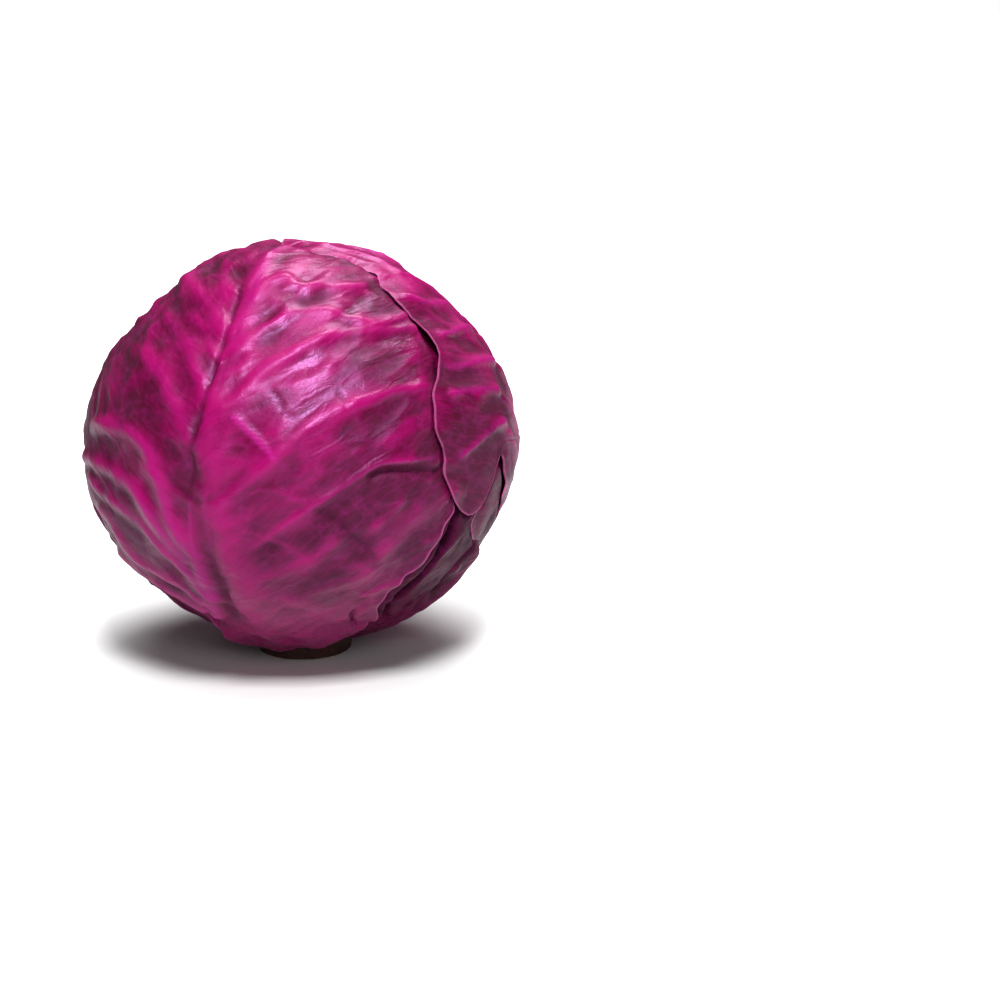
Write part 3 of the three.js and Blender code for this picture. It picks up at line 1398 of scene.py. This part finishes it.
@dataclass(frozen=True)
class StemFinish:
    """The look of the stem: a dry cream cut face inside a dark skin with dried patches; the skin's
    darkness is painted shade over its own brown.

    Attributes:
        name: The material's name.
        pith: The cut face's colour in the middle.
        ring: The colour of the woody ring around it.
        skin: The skin's colour: its own brown, darkened as painted shade.
        dirt: The colour of dried patches.
        cut_level: The height below which the cut face's colours are used, in metres.
        face_radius: The cut face's radius, in metres.
        raggedness: How far the woody ring's inner edge wanders, in metres.
        bump: How far the rough surface stands, in metres.
    """

    name: str = "cabbage_stem"
    pith: Colour = (0.560, 0.420, 0.260, 1.0)
    ring: Colour = (0.340, 0.220, 0.120, 1.0)
    skin: Colour = (0.060, 0.022, 0.020, 1.0)
    dirt: Colour = (0.030, 0.014, 0.010, 1.0)
    cut_level: float = 0.0005
    face_radius: float = 0.0165
    raggedness: float = 0.003
    bump: float = 0.0008

    def material(self) -> bpy.types.Material:
        """The stem's material.

        Returns:
            The material.
        """
        material = bpy.data.materials.new(self.name)
        material.use_nodes = True
        graph = Graph(material.node_tree)
        skin = graph.tree.nodes["Principled BSDF"]
        place = graph.add("ShaderNodeTexCoord").outputs["Object"]
        parts = graph.add("ShaderNodeSeparateXYZ")
        graph.feed(parts.inputs[0], place)
        squares = [graph.math("POWER", parts.outputs[axis], 2.0) for axis in (0, 1)]
        radius = graph.math("SQRT", graph.math("ADD", *squares))
        cloud = graph.noise(place, scale=260.0, detail=5.0, roughness=0.6)
        ragged = graph.math("ADD", radius, graph.math("MULTIPLY", cloud, self.raggedness))
        woody = graph.ramp(ragged, self.face_radius * 0.62, self.face_radius * 0.86)
        face = graph.mix(woody, self.pith, self.ring)
        face = graph.mix(graph.ramp(cloud, 0.5, 0.75, end=0.6), face, self.dirt)
        # The side: the skin's painted shade, with dried patches.
        side = graph.mix(graph.ramp(cloud, 0.35, 0.7), self.skin, self.dirt)
        cut = graph.ramp(parts.outputs[2], 0.0, self.cut_level, start=1.0, end=0.0)
        graph.feed(skin.inputs["Base Color"], graph.mix(cut, side, face))
        bump = graph.add("ShaderNodeBump")
        bump.inputs["Distance"].default_value = self.bump
        graph.feed(bump.inputs["Height"], cloud)
        graph.feed(skin.inputs["Normal"], bump.outputs[0])
        skin.inputs["Roughness"].default_value = 0.8
        skin.inputs["Specular IOR Level"].default_value = 0.25
        return material


@dataclass
class Heart:
    """The closed ball of tight leaves that the wrapper leaves lie on.

    Attributes:
        name: The CAD node's name.
        segments: How many steps it has around.
        rings: How many steps it has from pole to pole.
        marks: Its vein, rim, foot and tone: no vein or rim, a little foot, a middle tone.
    """

    name: str = "heart"
    segments: int = 160
    rings: int = 100
    marks: tuple[float, float, float, float] = (0.0, 0.0, 0.2, 0.5)

    def build(self, wrapping: Wrapping) -> bpy.types.Object:
        """Makes the heart's mesh, just inside the innermost leaves.

        Args:
            wrapping: All the leaves, which decide how far out the heart reaches.

        Returns:
            The finished piece.
        """
        bpy.ops.object.select_all(action="DESELECT")
        bpy.ops.mesh.primitive_uv_sphere_add(segments=self.segments, ring_count=self.rings)
        piece = bpy.context.active_object
        piece.name = piece.data.name = f"{self.name}_ball"
        unit = np.empty(len(piece.data.vertices) * 3)
        piece.data.vertices.foreach_get("co", unit)
        directions = unit.reshape(-1, 3)
        directions /= np.linalg.norm(directions, axis=1)[:, None]
        radii = wrapping.radii(None, directions)
        piece.data.vertices.foreach_set("co", HEAD.place(directions, radii).ravel())
        bpy.ops.object.shade_smooth()
        bare = np.tile(np.array(self.marks, np.float32), len(directions))
        layer = piece.data.color_attributes.new(MARKS_NAME, "FLOAT_COLOR", "POINT")
        layer.data.foreach_set("color", bare)
        piece.data.uv_layers.active.name = LEAF_MAP_NAME
        return piece

    def dress(self, piece: bpy.types.Object, material: bpy.types.Material) -> None:
        """Gives the piece its finish and its place in the frame."""
        finish_piece(piece, material, self.name)


@dataclass
class Stem:
    """The stump of the stem, cut across square.

    Attributes:
        name: The CAD node's name.
        cut_radius: The cut face's radius in millimetres.
        top_radius: The radius where it goes into the head.
        height: Its height in millimetres.
        bevel: The bevel around the cut face.
        sides: How many sides it has.
    """

    name: str = "stem"
    cut_radius: float = 17.0
    top_radius: float = 18.6
    height: float = 11.0
    bevel: float = 0.6
    sides: int = 96

    def build(self) -> bpy.types.Object:
        """Makes the stump's mesh, standing on its cut face.

        Returns:
            The finished piece.
        """
        bpy.ops.object.select_all(action="DESELECT")
        bpy.ops.mesh.primitive_cone_add(
            vertices=self.sides,
            radius1=self.cut_radius * MILLIMETRE,
            radius2=self.top_radius * MILLIMETRE,
            depth=self.height * MILLIMETRE,
            location=(0.0, 0.0, 0.5 * self.height * MILLIMETRE),
        )
        piece = bpy.context.active_object
        piece.name = piece.data.name = f"{self.name}_stump"
        bpy.ops.object.transform_apply(location=True, rotation=False, scale=False)
        bpy.ops.object.mode_set(mode="EDIT")
        bpy.ops.mesh.select_all(action="SELECT")
        bpy.ops.mesh.bevel(offset=self.bevel * MILLIMETRE, segments=3)
        bpy.ops.object.mode_set(mode="OBJECT")
        bpy.ops.object.shade_smooth_by_angle(angle=STEM_EDGE_ANGLE)
        return piece

    def dress(self, piece: bpy.types.Object, material: bpy.types.Material) -> None:
        """Gives the piece its finish and its place in the frame."""
        finish_piece(piece, material, self.name)


@dataclass(frozen=True)
class Studio:
    """A pale floor under soft light, and the camera.

    Attributes:
        aim: The point that the camera looks at, in metres.
        distance: The camera's distance from the head's centre.
        elevation: The camera's height above the level view, in degrees.
        lens: The lens's focal length in millimetres.
        ambient: The brightness of the light from all round.
        key_power: The big soft light's power in watts.
        key_place: Where the big soft light hangs.
        key_size: Its width in metres.
        fill_power: The low front light's power in watts.
        fill_place: Where the low front light hangs.
        fill_size: Its width in metres.
        top_power: The wide overhead light's power in watts.
        top_place: Where the wide overhead light hangs.
        top_size: Its width in metres.
        glow_start: How far from the head the floor starts to fade into the white background.
        glow_end: Where it has faded into it.
        floor_width: The floor's width in metres.
        floor_colour: The floor's colour.
    """

    aim: tuple[float, float, float] = (0.0725, 0.0, 0.0542)
    distance: float = 0.860
    elevation: float = 13.5
    lens: float = 85.0
    ambient: float = 0.095
    key_power: float = 32.0
    key_place: tuple[float, float, float] = (0.05, -0.78, 1.20)
    key_size: float = 0.34
    fill_power: float = 3.2
    fill_place: tuple[float, float, float] = (0.14, -1.10, 0.64)
    fill_size: float = 0.40
    top_power: float = 15.0
    top_place: tuple[float, float, float] = (0.22, 0.40, 1.15)
    top_size: float = 0.6
    glow_start: float = 0.050
    glow_end: float = 0.120
    floor_width: float = 8.0
    floor_colour: Colour = (0.62, 0.62, 0.62, 1.0)

    def build(self) -> None:
        """Sets the floor, the world, the light and the camera."""
        self.lay_floor()
        self.light_world()
        self.hang_light("key", self.key_power, self.key_place, self.key_size)
        self.hang_light("fill", self.fill_power, self.fill_place, self.fill_size)
        self.hang_light("top", self.top_power, self.top_place, self.top_size)
        self.set_camera()

    def lay_floor(self) -> None:
        """Lays the floor. It fades to white away from the head, where the camera sees it."""
        bpy.ops.object.select_all(action="DESELECT")
        bpy.ops.mesh.primitive_plane_add(size=self.floor_width)
        floor = bpy.context.active_object
        floor.name = "floor"
        material = bpy.data.materials.new("pale_floor")
        material.use_nodes = True
        graph = Graph(material.node_tree)
        skin = graph.tree.nodes["Principled BSDF"]
        away = graph.add("ShaderNodeVectorMath", operation="LENGTH")
        graph.feed(away.inputs[0], graph.add("ShaderNodeTexCoord").outputs["Object"])
        far = graph.ramp(away.outputs["Value"], self.glow_start, self.glow_end)
        seen = graph.add("ShaderNodeLightPath").outputs["Is Camera Ray"]
        glow = graph.mix(graph.math("MULTIPLY", far, seen), BLACK, WHITE)
        graph.feed(skin.inputs["Emission Color"], glow)
        skin.inputs["Emission Strength"].default_value = 1.0
        skin.inputs["Base Color"].default_value = self.floor_colour
        skin.inputs["Roughness"].default_value = 0.7
        skin.inputs["Specular IOR Level"].default_value = 0.2
        floor.data.materials.append(material)

    def light_world(self) -> None:
        """Lights the scene evenly all round, behind a white background."""
        world = bpy.data.worlds.new("soft_white")
        world.use_nodes = True
        graph = Graph(world.node_tree)
        background = graph.tree.nodes["Background"]
        seen = graph.add("ShaderNodeLightPath").outputs["Is Camera Ray"]
        strength = graph.math("MAXIMUM", seen, self.ambient)
        graph.feed(background.inputs["Color"], WHITE)
        graph.feed(background.inputs["Strength"], strength)
        bpy.context.scene.world = world

    def hang_light(
        self, name: str, power: float, place: tuple[float, float, float], size: float
    ) -> None:
        """Hangs a soft square light that faces the head.

        Args:
            name: The light's name.
            power: Its power in watts.
            place: Where it hangs, in metres.
            size: Its width in metres.
        """
        light = bpy.data.lights.new(name, "AREA")
        light.energy = power
        light.size = size
        lamp = bpy.data.objects.new(name, light)
        lamp.location = place
        aim = Vector((0.0, 0.0, HEAD.centre_height * MILLIMETRE)) - lamp.location
        lamp.rotation_euler = aim.to_track_quat("-Z", "Y").to_euler()
        bpy.context.scene.collection.objects.link(lamp)

    def set_camera(self) -> None:
        """Sets the camera a little above the head, from the front."""
        scene = bpy.context.scene
        rise = math.radians(self.elevation)
        centre = Vector((0.0, 0.0, HEAD.centre_height * MILLIMETRE))
        eye = centre + self.distance * Vector((0.0, -math.cos(rise), math.sin(rise)))
        lens = bpy.data.cameras.new("camera")
        lens.lens = self.lens
        camera = bpy.data.objects.new("camera", lens)
        camera.location = eye
        camera.rotation_euler = (Vector(self.aim) - eye).to_track_quat("-Z", "Y").to_euler()
        scene.collection.objects.link(camera)
        scene.camera = camera
        scene.view_settings.view_transform = "Standard"


def ribs(
    widths: tuple[float, float],
    heights: tuple[float, float],
    paleness: tuple[float, float],
    *paths: Points,
) -> tuple[Rib, ...]:
    """Ribs of one kind along several paths, or creases where the heights are negative."""
    return tuple(Rib(path, widths, heights, paleness) for path in paths)


def broad_margin(left: float, right: float, tip: float) -> Margin:
    """The margin of a broad, rounded leaf.

    Args:
        left: How far it reaches to the left, in millimetres.
        right: How far it reaches to the right.
        tip: How far it reaches to its tip.

    Returns:
        The margin.
    """
    return Margin(
        (
            (-170, 100),
            (-148, 0.90 * left),
            (-120, 0.88 * left),
            (-90, left),
            (-55, 1.06 * left),
            (-25, 0.94 * tip),
            (0, tip),
            (25, 0.93 * tip),
            (55, 1.05 * right),
            (90, right),
            (120, 0.90 * right),
            (148, 0.88 * right),
            (170, 100),
        )
    )


def front_margin() -> Margin:
    """The front leaf's margin.

    Returns:
        The margin, with a shallow bay low on the right.
    """
    return Margin(
        (
            (-180, 110), (-167, 92), (-158, 72), (-145, 64), (-130, 70), (-112, 84), (-90, 90),
            (-60, 98), (-30, 118), (0, 134), (25, 128), (45, 122), (60, 112), (78, 100), (92, 92),
            (101, 88), (108, 85), (114, 82), (122, 79), (129, 78), (134, 80), (143, 90), (152, 101),
            (160, 108), (168, 110),
        )
    )


def front_veins() -> tuple[Rib, ...]:
    """The front leaf's side veins.

    Returns:
        The bold ones on the left, the finer ones above them, and those on the right.
    """
    left = ribs(
        (4.0, 3.0), (2.7, 2.1), (0.60, 0.16),
        ((-7, -42), (-8, -22), (-13, -14), (-18, 1), (-25, 14), (-36, 19), (-52, 19), (-69, 17)),
        (
            (-8, -45), (-14, -28), (-20, -22), (-26, -17), (-31, -13), (-42, -9), (-53, -6),
            (-68, -2),
        ),
        ((-12, -24), (-18, -16), (-28, -4), (-33, 0), (-45, 4), (-61, 4), (-74, 2)),
        ((-10, -52), (-22, -39), (-33, -35), (-42, -28), (-46, -22), (-51, -16), (-61, -13)),
        ((-11, -58), (-19, -53), (-31, -48), (-41, -45), (-52, -41), (-63, -36)),
    )
    upper_left = ribs(
        (3.3, 2.8), (1.5, 1.0), (0.30, 0.08),
        ((-5, 17), (-13, 27), (-22, 37), (-33, 44), (-51, 51), (-69, 52)),
        ((-4, 35), (-11, 46), (-24, 58), (-38, 66), (-60, 74)),
        ((-2, 58), (-10, 66), (-23, 75), (-39, 84), (-62, 92)),
    )
    right = ribs(
        (2.8, 2.0), (2.0, 1.3), (0.16, 0.16),
        ((4, -3), (14, 6), (21, 12), (27, 19), (39, 29), (52, 35), (70, 41), (85, 43)),
        ((4, 30), (9, 35), (15, 43), (22, 49), (29, 56), (37, 61), (50, 65), (67, 70), (80, 75)),
        ((6, 56), (14, 64), (23, 71), (35, 73), (44, 71), (56, 70), (67, 77), (76, 87)),
        ((4, 75), (7, 83), (13, 86), (21, 83), (40, 88), (51, 95)),
    )
    return left + upper_left + right


def front_thin_veins() -> tuple[Rib, ...]:
    """The thin, pale veins on the front leaf's right half.

    Returns:
        The long ones, the faint ones low down, two twigs and a bright one.
    """
    return ribs(
        (1.5, 1.1), (1.0, 0.8), (0.10, 0.45),
        ((2, -25), (17, -16), (28, -8), (35, -3), (44, 3), (53, 9), (62, 12), (79, 12), (87, 11)),
    ) + ribs(
        (2.2, 1.4), (0.55, 0.7), (0.05, 0.12),
        ((3, -42), (19, -31), (35, -22), (48, -14), (62, -9), (72, 2), (83, 4)),
        ((6, -54), (29, -42), (47, -36), (63, -30), (78, -25), (87, -18)),
        ((20, -60), (38, -54), (55, -46), (70, -42)),
    ) + ribs(
        (0.9, 0.8), (0.7, 0.5), (0.30, 0.20),
        ((12, -11), (21, -15), (29, -19), (36, -28)),
        ((14, 2), (22, 4), (29, 1), (35, -2)),
    ) + ribs(
        (1.1, 0.9), (1.3, 1.0), (1.0, 1.0),
        ((8, 28), (14, 23), (21, 17), (24, 13)),
    )


def front_foot() -> tuple[Rib, ...]:
    """The folds of the front leaf's broad foot.

    Returns:
        The roll over the stem, the petiole's edges and swell, and fine lines along it.
    """
    return ribs(
        (7.0, 6.0), (4.2, 2.4), (0.0, 0.0),
        ((-25, -86), (-16, -95), (-3, -101), (12, -103), (26, -96), (34, -84)),
    ) + ribs(
        (7.0, 6.0), (3.0, 0.6), (0.0, 0.0),
        ((-19, -94), (-13, -80), (-6, -66), (-1, -52)),
    ) + ribs(
        (13.0, 8.0), (2.0, 0.8), (0.08, 0.08),
        ((12, -100), (13, -80), (12, -60), (10, -40), (7, -18)),
    ) + ribs(
        (1.0, 0.7), (0.9, 0.5), (0.45, 0.50),
        ((-14, -76), (-9.5, -58), (-6.3, -34), (-6.9, -15), (-6.6, 4)),
    ) + ribs(
        (1.5, 1.0), (0.6, 0.2), (0.20, 0.12),
        ((2, -98), (3, -80), (2, -60), (2, -40)),
        ((10, -98), (10, -80), (8, -60), (6, -38)),
        ((18, -96), (18, -78), (14, -60), (8, -44)),
        ((28, -96), (28, -78), (25, -62), (19, -50)),
    )


def front_creases() -> tuple[Rib, ...]:
    """The front leaf's creases.

    Returns:
        Those along the midrib and the foot, and those between the veins on the right.
    """
    return ribs(
        (1.4, 1.2), (-1.5, -0.9), (0.0, 0.0),
        ((-8, -4), (-6.5, 7), (-6, 18), (-4, 30), (-3, 45), (-3, 59), (-4, 72), (-6, 86)),
    ) + ribs(
        (1.5, 1.2), (-1.5, -1.0), (0.0, 0.0),
        ((-29, -98), (-25, -84), (-19, -68), (-12, -50)),
    ) + ribs(
        (1.0, 0.7), (-0.8, -0.5), (0.0, 0.0),
        ((35, -2), (43, -9), (52, -19), (58, -29)),
    ) + ribs(
        (3.4, 3.0), (-0.9, -0.5), (0.0, 0.0),
        ((-11, -74), (-3, -54), (-1, -32), (-2, -11), (-4, 6)),
    ) + ribs(
        (4.0, 3.0), (-1.1, -0.8), (0.0, 0.0),
        ((38, -4), (46, -13), (51, -20), (57, -31), (66, -28), (76, -26)),
    ) + ribs(
        (2.0, 1.5), (-3.0, -1.6), (0.0, 0.0),
        ((54, 5), (59, 9), (70, 8), (78, 6.5), (86, 5.5)),
    ) + ribs(
        (1.1, 0.8), (-2.6, -1.4), (0.0, 0.0),
        ((43, -86), (44, -74), (45, -64), (48, -60)),
    ) + ribs(
        (0.6, 0.5), (-0.9, -0.6), (0.0, 0.0),
        ((18, 39), (22, 36), (25, 31)),
        ((26, 28), (27.5, 28.6), (29, 29)),
        ((43, 39), (45, 35), (47, 31)),
    )


def front_leaf() -> Leaf:
    """The big leaf at the front, whose foot is broad and thick.

    Returns:
        The leaf.
    """
    midrib = Rib(
        (
            (0, -98), (5, -64), (6, -43), (6, -28), (5, -11), (2, 4), (0, 19),
            (1, 34), (3, 48), (3, 63), (3, 78), (0, 97), (-2, 118),
        ),
        (7.0, 3.9),
        (2.0, 1.9),
        (-0.35, 0.55),
    )
    habit = LeafHabit(11, panel=14.0, depth=0.95)
    return Leaf(
        "front_leaf", "outer_leaf", LeafPlane(-24.0), front_margin(), 134.0, habit,
        LeafDetail.SHOWN,
        pitch=3.2,
        ribs=front_veins() + front_thin_veins() + front_foot() + front_creases(),
        midrib=midrib,
        curls=(Curl(91, -14, 16, 2.2), Curl(72, -52, 26, 2.0)),
        # Painted shade and painted light on the blade.
        patches=(
            Patch(62, 6, 20, -0.34), Patch(50, -18, 16, -0.18), Patch(3, 22, 13, -0.16),
            Patch(38, 29, 13, 0.22), Patch(65, 67, 13, 0.22), Patch(12, -42, 22, 0.16),
            Patch(-9, 100, 15, -0.16), Patch(-38, 30, 16, -0.16), Patch(-34, -44, 16, 0.14),
            Patch(32, -4, 12, -0.14),
        ),
        foot_thickness=5.5,
    )


def right_leaf() -> Leaf:
    """The outermost leaf, from the right, whose left lobe hangs over the front leaf.

    Returns:
        The leaf.
    """
    margin = Margin(
        (
            (-170, 95), (-155, 75), (-135, 60), (-110, 57), (-92, 59), (-85, 62), (-83, 72),
            (-81.5, 86), (-78, 94), (-73, 101), (-68, 106), (-57, 113), (-50, 115), (-46, 110),
            (-44, 99), (-40, 98), (-32, 101), (-23.5, 101), (-14, 111), (-10.5, 120), (-8, 126),
            (10, 122), (30, 106), (60, 92), (90, 88), (120, 84), (150, 82), (170, 98),
        ),
        ripple=1.0,
    )
    tip = 124.0
    habit = LeafHabit(23)
    midrib = habit.midrib(tip)
    seen = ribs(
        (2.4, 1.6), (2.0, 1.2), (0.45, 0.55),
        ((-18, 58), (-32, 65), (-46, 72), (-51, 83)),
        ((-22, 47), (-39, 53), (-54, 57), (-61, 61)),
        ((-39, 36), (-50, 40), (-65, 44), (-77, 48)),
        ((-55, 28), (-73, 35), (-85, 38)),
        ((-59, 16), (-68, 16), (-79, 14), (-92, 10)),
        ((-30, 85), (-20, 96), (-16, 109), (-1, 123)),
    )
    lobe_from = -20.0
    grown = tuple(
        rib
        for rib in habit.grow(midrib, margin, tip)
        if min(point[0] for point in rib.points) > lobe_from
    )
    roots = ribs(
        (3.2, 2.4), (2.4, 2.0), (0.5, 0.45),
        ((-2, -20), (-14, 22), (-22, 47)),
        ((-2, 0), (-8, 34), (-18, 58)),
        ((-2, -36), (-22, 10), (-39, 36)),
        ((-2, -52), (-30, -6), (-55, 28)),
        ((-2, -66), (-30, -24), (-59, 16)),
        ((0, 40), (-18, 64), (-30, 85)),
    )
    return Leaf(
        "right_leaf", "outer_leaf", LeafPlane(112.0), margin, tip, habit, LeafDetail.SHOWN,
        pitch=2.4,
        ribs=seen + grown + roots,
        midrib=midrib,
        lobe=HangingLobe(58.0, 84.0, 30.0),
        curls=(
            Curl(-69, 63, 17, 2.4), Curl(-90, -12, 13, 1.2),
            Curl(-12, 120, 24, -2.0), Curl(-38, 100, 22, -1.6),
        ),
        # Painted shade on the hanging lobe, painted light near the top.
        patches=(Patch(-76, 8, 26, -0.28), Patch(-34, 96, 20, 0.24)),
    )


def inner_leaf(
    name: str, azimuth: float, margin: Margin, habit: LeafHabit, detail: LeafDetail
) -> Leaf:
    """A leaf of the inner layer, shaded by the leaves over it.

    Args:
        name: Its name.
        azimuth: Where its midrib crosses the equator, in degrees.
        margin: Its outline.
        habit: How its veins grow.
        detail: How fine its mesh is.

    Returns:
        The leaf.
    """
    plane = LeafPlane(azimuth)
    return Leaf(name, "inner_leaf", plane, margin, 116.0, habit, detail, look=Look.SHADED)


def inner_front_leaf() -> Leaf:
    """The crinkled leaf that shows beyond the front leaf's right margin.

    Returns:
        The leaf.
    """
    margin = Margin(
        (
            (-172, 100), (-150, 84), (-125, 76), (-95, 80), (-60, 88), (-25, 108), (0, 116),
            (30, 106), (60, 90), (90, 80), (104, 79), (112, 84), (118, 86), (125, 84), (134, 87),
            (145, 92), (160, 96),
        )
    )
    tip = 116.0
    habit = LeafHabit(34, panel=9.0, depth=1.2)
    midrib = habit.midrib(tip)
    # A deep crease along the front leaf's margin; the relief's shading darkens the tone in it to a
    # painted shadow under the margin.
    gap = ribs(
        (1.3, 1.2), (-3.4, -3.0), (0.0, 0.0),
        (
            (69, 2), (66, -8), (64, -17), (60, -28), (54, -38), (48, -47), (42, -57), (41, -70),
            (45, -84),
        ),
    )
    return Leaf(
        "inner_front_leaf", "inner_leaf", LeafPlane(-4.0), margin, tip, habit, LeafDetail.SHOWN,
        pitch=3.0,
        ribs=tuple(habit.grow(midrib, margin, tip)) + gap,
        midrib=midrib,
        look=Look.SHADED,
    )


def outer_leaf(name: str, azimuth: float, margin: Margin, habit: LeafHabit, look: Look) -> Leaf:
    """A leaf of the outer layer whose veins grow freely.

    Args:
        name: Its name.
        azimuth: Where its midrib crosses the equator, in degrees.
        margin: Its outline.
        habit: How its veins grow.
        look: How it is coloured.

    Returns:
        The leaf.
    """
    plane = LeafPlane(azimuth)
    return Leaf(name, "outer_leaf", plane, margin, 114.0, habit, LeafDetail.SHOWN, look=look)


def all_leaves() -> list[Leaf]:
    """The nine leaves.

    Returns:
        The leaves, the innermost first.
    """
    rear_right = Margin(
        (
            (-170, 98), (-150, 80), (-130, 76), (-118, 79), (-111, 91), (-100, 93), (-80, 94),
            (-45, 94), (-15, 104), (15, 104), (50, 96), (80, 90), (105, 86), (130, 78), (155, 84),
            (172, 98),
        )
    )
    covered = LeafDetail.COVERED
    return [
        inner_leaf("inner_left_leaf", -122, broad_margin(84, 82, 116), LeafHabit(31), covered),
        inner_leaf("inner_back_leaf", 178, broad_margin(86, 84, 118), LeafHabit(32), covered),
        inner_leaf("inner_right_leaf", 62, broad_margin(80, 86, 116), LeafHabit(33), covered),
        inner_front_leaf(),
        outer_leaf("left_leaf", -90, broad_margin(88, 92, 114), LeafHabit(35), Look.DARK),
        outer_leaf("rear_right_leaf", 122, rear_right, LeafHabit(36), Look.DARK),
        outer_leaf("back_leaf", -160, broad_margin(92, 90, 118), LeafHabit(37), Look.BRIGHT),
        front_leaf(),
        right_leaf(),
    ]


def leaf_materials() -> dict[Look, bpy.types.Material]:
    """The leaves' materials.

    Returns:
        The material of each look.
    """
    groups = LeafGroups(leaf_colour_group(), leaf_surface_group())
    finishes = {
        Look.BRIGHT: LeafFinish(Look.BRIGHT.value),
        # The dark look darkens the leaf's colours as painted shade, for the leaves at the sides of
        # the head.
        Look.DARK: LeafFinish(
            Look.DARK.value,
            dark_blade=(0.020, 0.0006, 0.006, 1.0),
            light_blade=(0.120, 0.0012, 0.038, 1.0),
            vein=(0.200, 0.010, 0.090, 1.0),
            foot=(0.130, 0.012, 0.056, 1.0),
            gloss=0.10,
        ),
        Look.SHADED: LeafFinish(
            Look.SHADED.value,
            dark_blade=(0.016, 0.0010, 0.006, 1.0),
            light_blade=(0.060, 0.0030, 0.022, 1.0),
            vein=(0.120, 0.010, 0.056, 1.0),
            foot=(0.100, 0.006, 0.036, 1.0),
            rim=(0.130, 0.014, 0.060, 1.0),
            gloss=0.05,
        ),
    }
    return {look: finish.material(groups) for look, finish in finishes.items()}


def main() -> None:
    """Builds the head from the inside out, then the studio."""
    logging.basicConfig(level=logging.INFO, format="%(name)s: %(message)s")
    materials = leaf_materials()
    wrapping = Wrapping(all_leaves())
    for leaf in wrapping.leaves:
        leaf.grow()
    heart = Heart()
    heart.dress(heart.build(wrapping), materials[Look.SHADED])
    stem = Stem()
    stem.dress(stem.build(), StemFinish().material())
    for leaf in wrapping.leaves:
        leaf.dress(leaf.build(wrapping), materials[leaf.look])
    Studio().build()


if __name__ == "__main__":
    main()
